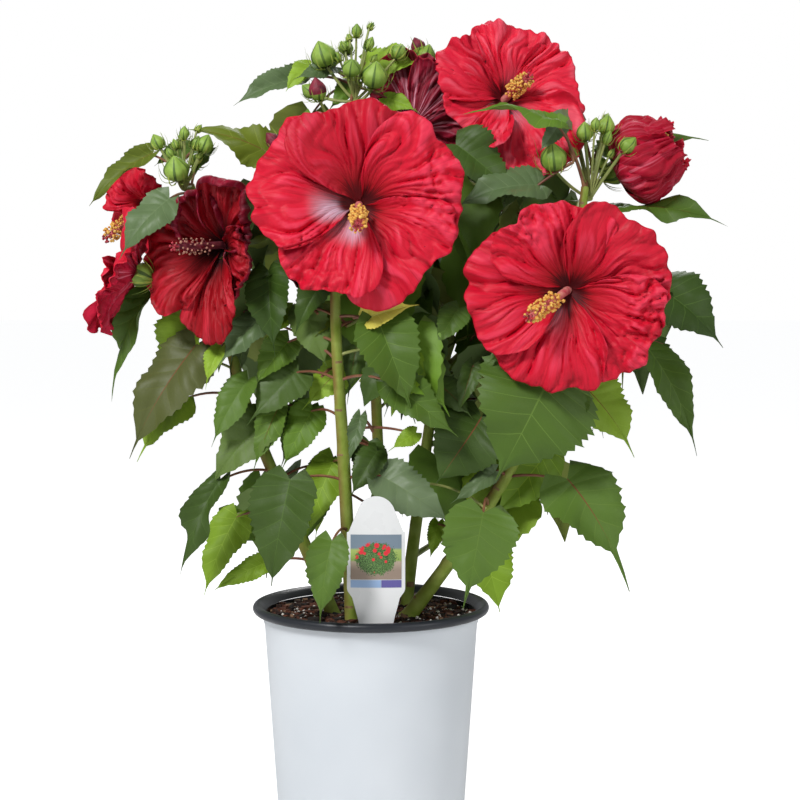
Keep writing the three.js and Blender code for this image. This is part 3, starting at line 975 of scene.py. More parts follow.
def crumple(look, degrees, v, x, y, offset, lift):
    # adds the crushed places to the lift, and says how crushed this one is, which paints shade and highlight
    # into the colour
    crumpleShade = 0
    size = petalLook["crumpleSize"]
    for where, width, amount in look.get("crumples", ()):
        away = apart(degrees, where, width)
        here = amount * math.exp(-away * away) * smooth(0.45, 0.8, v)
        broad = noise.noise(Vector((x * size, y * size, offset)))
        bump = broad + 0.5 * noise.noise(Vector((x * size * 2.3, y * size * 2.3, offset + 9)))
        crown = min(abs(bump) * 2.2, 1) ** 0.7
        lift += here * (crown - 0.5) * 2
        crumpleShade = max(crumpleShade, min(here / 3, 1) * (crown - 0.5))
    return lift, crumpleShade


def petalSpot(look, petal, u, v, offset, reach):
    # across, up and ahead of the mouth's middle for one place on one petal, and its marks: painted fold
    # shade, painted glare and how much darker the petal is
    wide, tall = (value / 2 for value in look["size"])
    ruffle = look.get("ruffle", 1)
    roll = look.get("rolls", (0,) * 5)[petal]
    centre = look["turn"] + 72 * petal
    spread = petalLook["halfSpan"] * (0.74 + 0.26 * smooth(0, 0.45, v))
    degrees = centre + u * spread
    angle = math.radians(degrees)
    inner = min(v, mix(1, petalLook["rollFrom"], roll))
    edge = petalEdge(look, petal, u, v, offset)
    radius = (0.035 + 0.965 * inner) * edge * reach
    bowl = look.get("bowl")
    depth = -look["cup"] * (1 - inner ** bowl if bowl else (1 - min(radius, 1)) ** 1.9)
    if bowl:
        radius = edge * reach * mix(0.035, 1, smooth(-0.3, 0.55, inner)) * (1 - 0.45 * smooth(0.66, 1, inner))
    depth -= petalLook["recurve"] * ruffle * radius ** 4
    depth += petalLook["lap"] * u * (0.3 + 0.7 * v) * smooth(0, 0.25, v)
    height, foldShade = foldsAt(u, v, offset, look.get("swerve", petalLook["swerve"]))
    grown = smooth(0.12, 0.6, v)
    lift = height * grown * ruffle ** 0.3
    rim = smooth(0.66, 1, v)
    wave = noise.noise(Vector((u * 3.2, v * 1.2, offset + 60)))
    frill = noise.noise(Vector((u * 8, v * 2, offset + 70)))
    lift += rim * ruffle * petalLook["ruffle"] * (wave * 1.4 + frill * 0.9)
    radius *= 1 + 0.04 * rim * (frill + wave * 0.6)
    depth += rim * look.get("rim", (0,) * 5)[petal]
    x = math.cos(angle) * radius * wide
    y = math.sin(angle) * radius * tall
    lift, crumpleShade = crumple(look, degrees, v, x, y, offset, lift)
    if bowl:
        out = 1 + lift * grown / (max(radius, 0.3) * (wide + tall) / 2)
        x, y = x * out, y * out
    else:
        depth += lift
    if roll > 0 and v > inner:
        curl = (v - inner) / (1 - petalLook["rollFrom"]) * math.pi * 1.5
        ring = (1 - petalLook["rollFrom"]) * (wide + tall) / 2 / (math.pi * 1.5)
        x += math.cos(angle) * ring * math.sin(curl)
        y += math.sin(angle) * ring * math.sin(curl)
        depth += ring * (1 - math.cos(curl)) * 1.4
    # the fold mark: painted shade in the grooves, painted highlight on the crowns and crumples
    foldShade = mix(0.62, foldShade, grown) + crumpleShade * 0.6
    # a pale painted glare near the throat, where light glances off the petals
    paintedGlare = 0
    for where, width, amount in look.get("paintedGlare", ()):
        away = apart(degrees, where, width)
        paintedGlare += amount * math.exp(-away * away) * smooth(0.12, 0.2, v) * (1 - smooth(0.26, 0.5, v))
    return (x, y, depth), (foldShade, paintedGlare, look.get("shades", (0,) * 5)[petal])


def buildPetals(node, look, seed):
    # five petals as one thin closed skin that takes the place of the bloom's solid
    middle, ahead = bloomPlace(node, look)
    right, top, ahead = frameFor(ahead)
    rows, columns = look["grid"]
    draw = random.Random(seed * 7 + 3)
    gathered = Gathered()
    # the marks: painted fold shade and highlight, a pale painted glare, and how much darker each petal is
    gathered.marks = {"fold": [], "paintedGlare": [], "darker": []}
    across = columns + 1
    for petal in range(5):
        reach = draw.uniform(0.96, 1.03)
        offset = draw.uniform(0, 40)
        points, places = [], []
        for i in range(rows + 1):
            v = i / rows
            for k in range(across):
                u = 2 * k / columns - 1
                (x, y, depth), marks = petalSpot(look, petal, u, v, offset, reach)
                points.append(middle + right * x + top * y + ahead * depth)
                places.append((petal * 1.3 + (u + 1) / 2, v))
                for values, mark in zip(gathered.marks.values(), marks):
                    values.append(mark)
        faces = []
        for i in range(rows):
            for k in range(columns):
                a = i * across + k
                faces.append((a, a + across, a + across + 1, a + 1))
        gathered.add(points, faces, 0, places)
    made = gathered.piece("petals_" + node, [petalFinishes[look["front"]], petalFinishes[look["back"]]], 80)
    fixFacing(made, ahead)
    skin = made.modifiers.new("thickness", "SOLIDIFY")
    skin.thickness = petalLook["thickness"] * mm
    skin.offset = -1
    skin.material_offset = 1
    applyModifiers(made)
    slot = "petal_faded" if node in ("bloom_left_wilting", "bloom_behind_front") else "petal_red"
    wear(made, slot, node)
    return middle, ahead


def fixFacing(made, ahead):
    # petal faces should look out of the cup
    total = sum((face.normal * face.area for face in made.data.polygons), Vector())
    if total.dot(ahead) < 0:
        made.data.flip_normals()


columnLook = {
    "steps": 14,
    "radii": (4.0, 2.2),
    "anthers": 120,
    "antherSize": 1.75,
    "filament": (2.6, 5.6),
    "filamentRadius": 0.34,
    "bareShare": 0.34,     # the lower part of the column carries no anthers
    "stigmaReach": 6,
}


def buildColumn(gathered, look, middle, ahead, seed):
    # the leaning column in a bloom's throat, its anthers on thin filaments, and five stigmas at its tip
    draw = random.Random(seed + 100)
    worn = look.get("worn", False)
    skin, pollen = (6, 7) if worn else (0, 1)
    start = middle - ahead * (look["cup"] + 1)
    lean = Vector(look["lean"]).normalized()
    end = start + ahead * look["cup"] * 0.6 + lean * (look["column"] + look["cup"] * 0.3)
    steps = columnLook["steps"]
    path = bend(start, start + (end - start) * 0.5 + ahead * 1.5, end, steps)
    low, high = columnLook["radii"]
    tube(gathered, path, tapering(low, high, steps), 12, skin)
    right, top, _ = frameFor(end - start)
    count = columnLook["anthers"] // (2 if worn else 1)
    for i in range(count):
        share = mix(columnLook["bareShare"], 1.0, (i + draw.random()) / count)
        along = int(share * steps)
        spot = path[min(along, steps - 1)].lerp(path[min(along + 1, steps)], share * steps % 1)
        turn = i * 2.4 + draw.uniform(-0.3, 0.3)
        out = (outAt(right, top, turn) + (end - start).normalized() * 0.35).normalized()
        tip = spot + out * (mix(low, high, share) + draw.uniform(*columnLook["filament"]))
        tube(gathered, [spot, (spot + tip) / 2, tip], columnLook["filamentRadius"], 4, skin)
        size = columnLook["antherSize"] * draw.uniform(0.7, 1.2) * (0.7 if worn else 1)
        gathered.add([tip + Vector(a * b for a, b in zip(corner, (size, size * 0.8, size * 0.9)))
                      for corner in ballPoints], ballFaces, pollen)
    for k in range(5):
        out = outAt(right, top, 2 * math.pi * k / 5 + 0.4)
        tip = end + lean * columnLook["stigmaReach"] + out * 3.4
        tube(gathered, bend(end, end + lean * 4 + out * 0.8, tip, 4), 0.6, 5, 2)
        gathered.add([tip + corner * 1.5 for corner in ballPoints], ballFaces, 2)


def ribbon(gathered, path, normal, widths, slot):
    # a thin pointed strip, closed like a flattened stalk
    points = []
    for i, point in enumerate(path):
        ahead = path[min(i + 1, len(path) - 1)] - path[max(i - 1, 0)]
        side = ahead.cross(normal).normalized()
        lift = side.cross(ahead).normalized()
        wide = max(widths[i], 0.12)
        points += [point - side * wide / 2, point + lift * wide * 0.18, point + side * wide / 2,
                   point - lift * wide * 0.12]
    gathered.add(points, ringFaces(len(path), 4), slot)


calyxLook = {
    "sides": 20,
    "rows": 8,
    "radius": 11,
    "length": 17,
    "teeth": 5,
    "bracts": 10,
    "bractLength": 18,
    "bractWidths": (2.0, 2.3, 2.0, 1.6, 1.0, 0.3),
}


def calyx(gathered, base, ahead, seed):
    # a ribbed green cup with five points, and a ring of thin curling bracts under it
    draw = random.Random(seed + 300)
    right, top, ahead = frameFor(ahead, Vector((0.2, 0.1, 1)))
    sides, rows = calyxLook["sides"], calyxLook["rows"]
    radius, length = calyxLook["radius"], calyxLook["length"]
    points = []
    for i in range(rows + 1):
        v = i / rows
        for k in range(sides):
            turn = 2 * math.pi * k / sides
            tooth = abs(math.sin(turn * (calyxLook["teeth"] / 2))) ** 1.3
            out = radius * (0.3 + 0.75 * math.sin(min(v * 1.25, 1) * math.pi / 2))
            rise = length * (v - 0.22 * smooth(0.6, 1, v) * (1 - tooth))
            points.append(base + ahead * rise + outAt(right, top, turn) * out)
    slots = [4 if k % 4 == 0 else 3 for k in range(sides)] * rows + [3, 3]
    gathered.add(points, ringFaces(rows + 1, sides), slots)
    count = calyxLook["bracts"]
    for k in range(count):
        out = outAt(right, top, 2 * math.pi * k / count + draw.uniform(-0.15, 0.15))
        long = calyxLook["bractLength"] * draw.uniform(0.8, 1.15)
        start = base + out * radius * 0.35
        end = base + out * (radius + long * 0.55) + ahead * long * 0.75
        knee = start + out * (radius * 0.8) + ahead * long * 0.2
        ribbon(gathered, bend(start, knee, end, 5), out, calyxLook["bractWidths"], 5)


flowerHearts = Gathered()
stalks = Gathered()
bloomStalk = {"steps": 10, "radii": (2.6, 2.2)}


def nearestLimb(spot, above=0.7):
    # the place that a stalk to this spot would most naturally leave, and the limb's radius there
    best = None
    tries = limbLook["footTries"]
    for limb in limbs.values():
        for k in range(tries + 1):
            place, radius = limb.at(0.04 + 0.95 * k / tries)
            cost = (place - spot).length + above * max(place.z - spot.z, 0)
            if best is None or cost < best[0]:
                best = (cost, place, radius)
    return best[1:]


def stalk(start, end, sag, steps, radius, sides=6):
    # a green stalk that bows away from the straight line
    tube(stalks, bend(start, (start + end) / 2 - sag, end, steps), radius, sides)


for seed, (node, look) in enumerate(blooms.items()):
    middle, ahead = buildPetals(node, look, seed)
    buildColumn(flowerHearts, look, middle, ahead, seed)
    back = middle - ahead * (look["cup"] + 15)
    calyx(flowerHearts, back, ahead, seed)
    place, _ = nearestLimb(back - ahead * 10 - up * 30)
    away = (back - place).length
    elbow = place + (back - place) * 0.5 - ahead * away * 0.18
    steps = bloomStalk["steps"]
    tube(stalks, bend(place, elbow, back + ahead * 2, steps), tapering(*bloomStalk["radii"], steps), 8)
hearts = flowerHearts.piece(
    "flowerHearts",
    [columnRose, antherYellow, stigmaRed, calyxGreen, calyxStripe, bractGreen, columnDark, antherFaded],
    50,
)
wear(hearts, "bud_green")
print("blooms made")


budKnots = {
    "buds_centre": [
        {"at": (0.22, 0.72), "size": 11.5, "long": 25, "aim": (-0.35, -0.3, 1)},
        {"at": (0.46, 0.50), "size": 8.5, "long": 19, "aim": (0.1, -0.9, 0.8), "behind": -12},
        {"at": (0.68, 0.34), "size": 12.0, "long": 26, "aim": (0.15, -0.5, 1), "behind": -6},
        {"at": (0.10, 0.15), "size": 7.0, "long": 16, "aim": (-0.8, -0.2, 0.6), "behind": 6},
        {"at": (0.90, 0.82), "size": 7.5, "long": 17, "aim": (0.5, 0.3, 1), "behind": 14},
        {"at": (0.40, 0.90), "size": 6.5, "long": 15, "aim": (0.1, 0.4, 1), "behind": 16},
    ],
    "buds_left": [
        {"at": (0.42, 0.28), "size": 11.5, "long": 25, "aim": (-0.1, -0.6, 1), "behind": -8},
        {"at": (0.16, 0.80), "size": 6.5, "long": 15, "aim": (-0.5, -0.1, 1)},
        {"at": (0.74, 0.76), "size": 8.0, "long": 18, "aim": (0.45, -0.2, 1)},
        {"at": (0.62, 0.50), "size": 6.5, "long": 14, "aim": (0.2, 0.7, 0.8), "behind": 14},
    ],
    "buds_right": [
        {"at": (0.10, 0.42), "size": 12.0, "long": 28, "aim": (-0.15, -0.5, 1), "behind": -12},
        {"at": (0.44, 0.74), "size": 8.0, "long": 18, "aim": (-0.1, -0.4, 1)},
        {"at": (0.64, 0.82), "size": 8.5, "long": 19, "aim": (0.25, -0.1, 1), "behind": 6},
        {"at": (0.84, 0.60), "size": 8.0, "long": 18, "aim": (0.7, -0.3, 0.8)},
        {"at": (0.30, 0.92), "size": 6.0, "long": 14, "aim": (-0.4, 0.3, 1), "behind": 14},
        {"at": (0.60, 0.40), "size": 7.0, "long": 16, "aim": (0.3, 0.6, 0.8), "behind": 18},
    ],
}

# small young buds in the middle of each knot
budTuft = {"count": 7, "size": 2.6, "long": 9, "turn": 2.4, "spread": 0.22, "height": 0.3, "step": 0.09}

# single buds that stand behind a bloom; the spent ones have flowered
lostBuds = [
    {"from": "bloom_behind_front", "at": (0.62, 0.98), "size": 9, "long": 20, "aim": (0.3, -0.1, 1),
     "behind": 20},
    {"from": "bloom_front", "at": (0.30, 1.04), "size": 8, "long": 22, "aim": (-0.2, -0.3, 1), "behind": 60,
     "spent": True},
    {"from": "bloom_front", "at": (0.09, 0.80), "size": 7, "long": 19, "aim": (-0.6, -0.3, 0.7), "behind": 70,
     "spent": True},
    {"from": "bloom_top", "at": (-0.05, 0.78), "size": 7, "long": 18, "aim": (-0.4, 0.1, 1), "behind": 30,
     "spent": True},
]

spentRed = speckled("spentRed", (104, 20, 40), 0.6, 160, (70, 12, 28), (146, 40, 62), (500, 0.5, 0.001))

budGather = Gathered()


budLook = {
    "sides": 30,
    "rows": 12,
    "rib": 0.05,
    "taper": 0.3,
    "spentTwist": 0.5,
    "bracts": 9,
    "bractWidths": (1.8, 2.1, 1.8, 1.4, 0.9, 0.25),
}


def buildBud(spot, aim, size, long, seed, spent=False):
    # a ribbed pointed bud with loose bracts round it; a spent one has its red petals twisted shut
    draw = random.Random(seed)
    aim = aim.normalized()
    right, top, aim = frameFor(aim, Vector((0.4, 0.8, 0.2)))
    sides, rows = budLook["sides"], budLook["rows"]
    points, slots = [], []
    for i in range(rows + 1):
        v = i / rows
        fullness = math.sin(math.pi * v ** 0.8) ** 0.62 if 0 < v < 1 else 0
        taper = 1 - budLook["taper"] * smooth(0.55, 1, v)
        for k in range(sides):
            turn = 2 * math.pi * k / sides
            rib = 1 + budLook["rib"] * math.cos(turn * 10) * smooth(0, 0.4, v)
            twist = turn + (budLook["spentTwist"] * v if spent else 0)
            reach = max(size * fullness * taper * rib, 0.3)
            points.append(spot + aim * (v * long) + outAt(right, top, twist) * reach)
    for i in range(rows):
        slots += [3 if spent and i > 3 else (1 if k % 6 == 0 else 0) for k in range(sides)]
    slots += [0, 0]
    budGather.add(points, ringFaces(rows + 1, sides), slots)
    count = budLook["bracts"]
    for k in range(count):
        out = outAt(right, top, 2 * math.pi * k / count + draw.uniform(-0.2, 0.2))
        reach = long * draw.uniform(0.75, 1.15)
        start = spot + out * 1.2
        knee = spot + out * (size * 1.25) + aim * reach * 0.12
        end = spot + out * (size * draw.uniform(1.25, 1.9)) + aim * reach * draw.uniform(0.6, 0.9)
        ribbon(budGather, bend(start, knee, end, 5), out, budLook["bractWidths"], 2)


budSeed = 40
for node, buds in budKnots.items():
    low, high = boxOf(node)
    hub = Vector(((low.x + high.x) / 2, (low.y + high.y) / 2, low.z - 4))
    place, radius = nearestLimb(hub)
    stalk(place, hub, Vector(), 5, radius * 0.7, 8)
    for bud in buds:
        budSeed += 1
        spot = spotIn(node, *bud["at"], bud.get("behind", 0))
        aim = Vector(bud["aim"])
        foot = spot - up * bud["long"] * 0.4
        buildBud(foot, aim, bud["size"], bud["long"], budSeed)
        stalk(hub, foot, aim.normalized() * 4, 6, 1.5)
    for k in range(budTuft["count"]):
        budSeed += 1
        turn = k * budTuft["turn"]
        out = Vector((math.cos(turn) * 0.8, math.sin(turn) * 0.6, 1.1 + 0.4 * math.sin(k * 1.7))).normalized()
        span = (high - low).length
        spread = budTuft["spread"]
        rise = budTuft["height"] + budTuft["step"] * (k % 4)
        foot = hub + Vector((out.x * span * spread, out.y * span * spread, span * rise))
        buildBud(foot, out, budTuft["size"] + k % 3, budTuft["long"] + 2 * (k % 3), budSeed)
        stalk(hub, foot, out * 3, 5, 1.1)
for bud in lostBuds:
    budSeed += 1
    spot = spotIn(bud["from"], *bud["at"], bud["behind"])
    aim = Vector(bud["aim"])
    buildBud(spot, aim, bud["size"], bud["long"], budSeed, bud.get("spent", False))
    place, _ = nearestLimb(spot - up * 30)
    stalk(place, spot, aim.normalized() * 6, 7, 1.4)
buds = budGather.piece("buds", [calyxGreen, calyxStripe, bractGreen, spentRed], 50)
wear(buds, "bud_green", "buds_centre", "buds_left", "buds_right")
print("buds made")

leafLook = {
    "veins": (0.05, 0.15, 0.27, 0.4, 0.54, 0.69),    # where side veins leave the midrib, base to tip
    "veinHalf": 0.0042,
    "columns": (0.017, 0.34, 0.68, 1.0),              # lines of points on each half of the blade
    "plainColumns": (0.5, 1.0),                       # the same, on a leaf that grows by rule
    "teeth": (-0.052, 0.034, -0.04),                  # of the half width, between two side veins
    "plainTeeth": (-0.06,),
    "veinTooth": 0.05,
    "fold": (0.18, 0.6),                              # how far the two halves stand up, in radians
    "lobe": 0.12,          # how far the two lobes of the base reach back past the stalk
    "thickness": 0.38,
    "quilt": 0.012,        # of the length, how far the blade swells between two veins
    "bulge": 0.1,          # of the length, how far the midrib arches
    "wave": 0.046,
    "slump": 0.15,         # of the length, slow limp unevenness
    "ruddyRibs": 0.3,      # share of leaves with a reddish midrib
    "arch": (0.5, 1.5),    # how far each leaf arches, beside the usual bulge
    "skew": 0.05,          # of the half width, how far the midrib strays sideways
    "tail": (0.76, 0.94),  # of the length, where the blade narrows to its drip tip
    "ragged": (0.3, 1.6),  # how big each tooth is, beside the usual one
}

# three tops, then the veins and the underside
leafTints = {
    "dark": ((64, 86, 34), (74, 96, 44), (56, 78, 28), (80, 104, 50), (98, 118, 70)),
    "mid": ((76, 102, 36), (86, 114, 44), (94, 116, 56), (98, 124, 56), (110, 132, 76)),
    "fresh": ((92, 124, 38), (102, 136, 42), (86, 114, 40), (116, 146, 56), (122, 146, 70)),
    "lime": ((124, 156, 42), (138, 170, 52), (112, 144, 42), (148, 178, 66), (140, 166, 70)),
    "olive": ((102, 116, 32), (114, 126, 40), (94, 108, 34), (126, 138, 54), (126, 138, 66)),
    "straw": ((226, 212, 92), (232, 220, 110), (214, 196, 78), (236, 226, 130), (222, 210, 110)),
    "blueGrey": ((92, 112, 74), (102, 120, 86), (84, 104, 66), (110, 128, 90), (116, 132, 92)),
    "bronze": ((74, 86, 42), (84, 90, 48), (66, 84, 38), (92, 98, 54), (100, 108, 66)),
}
ribRed = (122, 74, 50)
leafRoughness = {
    "dark": 0.5, "mid": 0.52, "fresh": 0.54, "lime": 0.56, "olive": 0.56, "straw": 0.6, "blueGrey": 0.45,
    "bronze": 0.5,
}


def leafMaterials(tint):
    made = []
    for part, colour in zip(("TopA", "TopB", "TopC", "Vein", "Under", "Rib"), (*leafTints[tint], ribRed)):
        rough = leafRoughness[tint] + (0.12 if part in ("Vein", "Under", "Rib") else 0)
        name = "leaf" + tint[0].upper() + tint[1:] + part
        finish = Finish(name, shade(*colour), rough, Specular_IOR_Level=0.32 if "Top" in part else 0.2)
        finish.grain(420, 0.3, 0.0006)
        made.append(finish.material)
    return made


leafGathers = {tint: Gathered() for tint in leafTints}


def leafRows(plain):
    # the rows of points from base to tip: place, side of its vein, swelling and tooth
    veins = leafLook["veins"]
    teeth = leafLook["plainTeeth"] if plain else leafLook["teeth"]
    rows = [(0.0, 0, 0.0, 0.0)]
    for i, vein in enumerate(veins):
        for side in (0,) if plain else (-1, 1):
            rows.append((vein, side, 0.0, leafLook["veinTooth"]))
        after = veins[i + 1] if i + 1 < len(veins) else 1.0
        for k, tooth in enumerate(teeth):
            share = (k + 1) / (len(teeth) + 1)
            rows.append((mix(vein, after, share), 0, math.sin(math.pi * share), tooth))
    rows.append((1.0, 0, 0.0, 0.0))
    return rows


def closedBlade(tops, unders, last, wide):
    # the points of both sides, which share those of the margin, and where each under point is found
    points = list(tops)
    below = []
    for i in range(last + 1):
        for k in range(wide):
            if i in (0, last) or k in (0, wide - 1):
                below.append(i * wide + k)
            else:
                below.append(len(points))
                points.append(unders[i * wide + k])
    return points, below


def leaf(base, tip, face, ratio, tint, twist=0.0, fold=None, tail=None, seed=0, plain=False):
    # one closed blade from its stalk's end to its drip tip, broadest near the base
    draw = random.Random(seed)
    gathered = leafGathers[tint]
    chord = tip - base
    length = chord.length
    ahead = chord / length
    normal = (face - ahead * face.dot(ahead)).normalized()
    side = normal.cross(ahead)
    half = length * ratio / 2
    fold = draw.uniform(*leafLook["fold"]) if fold is None else fold
    arch = draw.uniform(*leafLook["arch"])
    phase = draw.uniform(0, 6.3)
    skew = draw.uniform(-leafLook["skew"], leafLook["skew"])
    tail = draw.uniform(*leafLook["tail"]) if tail is None else tail
    rows = leafRows(plain)
    rib = 5 if draw.random() < leafLook["ruddyRibs"] else 3
    ragged = [draw.uniform(*leafLook["ragged"]) for _ in range(2 * len(rows))]
    columns = leafLook["plainColumns"] if plain else leafLook["columns"]
    across = [-share for share in reversed(columns)] + [0.0] * plain + list(columns)
    tops, unders = [], []
    for row, (place, vein, swell, plainTooth) in enumerate(rows):
        for u in across:
            out = abs(u)
            tooth = plainTooth * ragged[row * 2 + (u > 0)]
            t = min(max(place + vein * leafLook["veinHalf"] * (1 - 0.7 * out), 0), 1)
            middleX = t ** 1.6
            edgeX = t - leafLook["lobe"] * math.exp(-9 * t)
            x = mix(middleX, edgeX, out ** 0.85)
            body = max(1 - (t / tail) ** 2.5, 0) * (1 - 0.76 * math.exp(-14 * t))
            width = max((body + 0.2 * (1 - t) ** 0.8) * 0.93, 0.012)
            limp = min(width * 1.5, 1)
            margin = 1 + (tooth if out == 1 else 0) + 0.05 * noise.noise(Vector((t * 5, u, seed * 1.7)))
            x += 0.35 * tooth * (out == 1) * (1 - t) * 0.6
            y = u * half * width * margin + skew * half * math.sin(math.pi * t)
            lift = leafLook["quilt"] * length * swell * math.sin(math.pi * min(out * 1.1, 1))
            swing = 9 * t + phase + (1.3 if u > 0 else 0)
            wave = leafLook["wave"] * (math.sin(swing) + 0.4 * math.sin(2.3 * swing)) * out ** 1.6
            slump = leafLook["slump"] * noise.noise(Vector((t * 2.6, u * 1.3, seed * 3.1))) * out
            lift += (wave + slump) * length * limp - 0.16 * half * out ** 2.4 * width
            folded = fold * (1 - 0.35 * t)
            sway = abs(y) * math.sin(folded) + lift
            y *= math.cos(folded)
            turn = twist * (x - 0.2)
            if x > 0:
                curve = leafLook["bulge"] * arch * length * 4 * x * (1 - x)
            else:
                curve = 0.4 * x * length * arch * 0.4
            sideways = side * math.cos(turn) + normal * math.sin(turn)
            outward = normal * math.cos(turn) - side * math.sin(turn)
            spot = base + ahead * (x * length) + sideways * y + outward * sway + normal * curve
            tops.append(spot)
            unders.append(spot - outward * leafLook["thickness"])
    wide = len(across)
    last = len(rows) - 1
    points, below = closedBlade(tops, unders, last, wide)
    faces, slots = [], []
    shadeSlot = draw.choice((0, 0, 1, 1, 2))
    for i in range(last):
        strip = rows[i][1] == -1 and rows[i + 1][1] == 1
        for k in range(wide - 1):
            a = i * wide + k
            faces.append((a, a + wide, a + wide + 1, a + 1))
            midrib = not plain and k == wide // 2 - 1
            slots.append(rib if midrib else (3 if strip else shadeSlot))
            faces.append((below[a], below[a + 1], below[a + wide + 1], below[a + wide]))
            slots.append(rib if midrib else 4)
    gathered.add(points, faces, slots)


petioleRed = speckled("petioleRed", (128, 76, 62), 0.5, 60, (112, 62, 52), (148, 104, 74), (500, 0.25))
petioleGreen = speckled("petioleGreen", (136, 150, 80), 0.5, 60, (120, 136, 70), (156, 160, 92), (500, 0.25))


stalkLook = {
    "gap": 16,             # this close to another stalk's foot, a stalk forks from that stalk instead
    "fork": 0.42,          # how far along a stalk its forks leave
    "forkRadius": 1.3,
    "thickest": 2.3,
    "radii": (1.55, 1.05),
    "rise": (0.04, 0.12),  # of its length, how far it arches up
    "intoBlade": 2.5,
    "steps": 10,
}
stalkFeet = []             # where each stalk leaves its limb, and the place of its forks


def petiole(base, place, radius, tip, seed, slot=1):
    # a leaf stalk that leaves its limb outward and a little up, then bends over into the blade
    draw = random.Random(seed + 900)
    near = [half for foot, half in stalkFeet if (foot - place).length < stalkLook["gap"]]
    near = [half for half in near if (half - base).length < (place - base).length]
    if near:
        place = min(near, key=lambda half: (half - base).length)
        radius = stalkLook["forkRadius"]
    else:
        stalkFeet.append((place, place.lerp(base, stalkLook["fork"])))
    reach = (base - place).length
    middle = (place + base) / 2 + up * reach * draw.uniform(*stalkLook["rise"])
    end = base + (tip - base).normalized() * stalkLook["intoBlade"]
    radii = tapering(*stalkLook["radii"], stalkLook["steps"])
    radii[0] = min(radius, stalkLook["thickest"])
    tube(stalks, bend(place, middle, end, stalkLook["steps"]), radii, 6, slot)


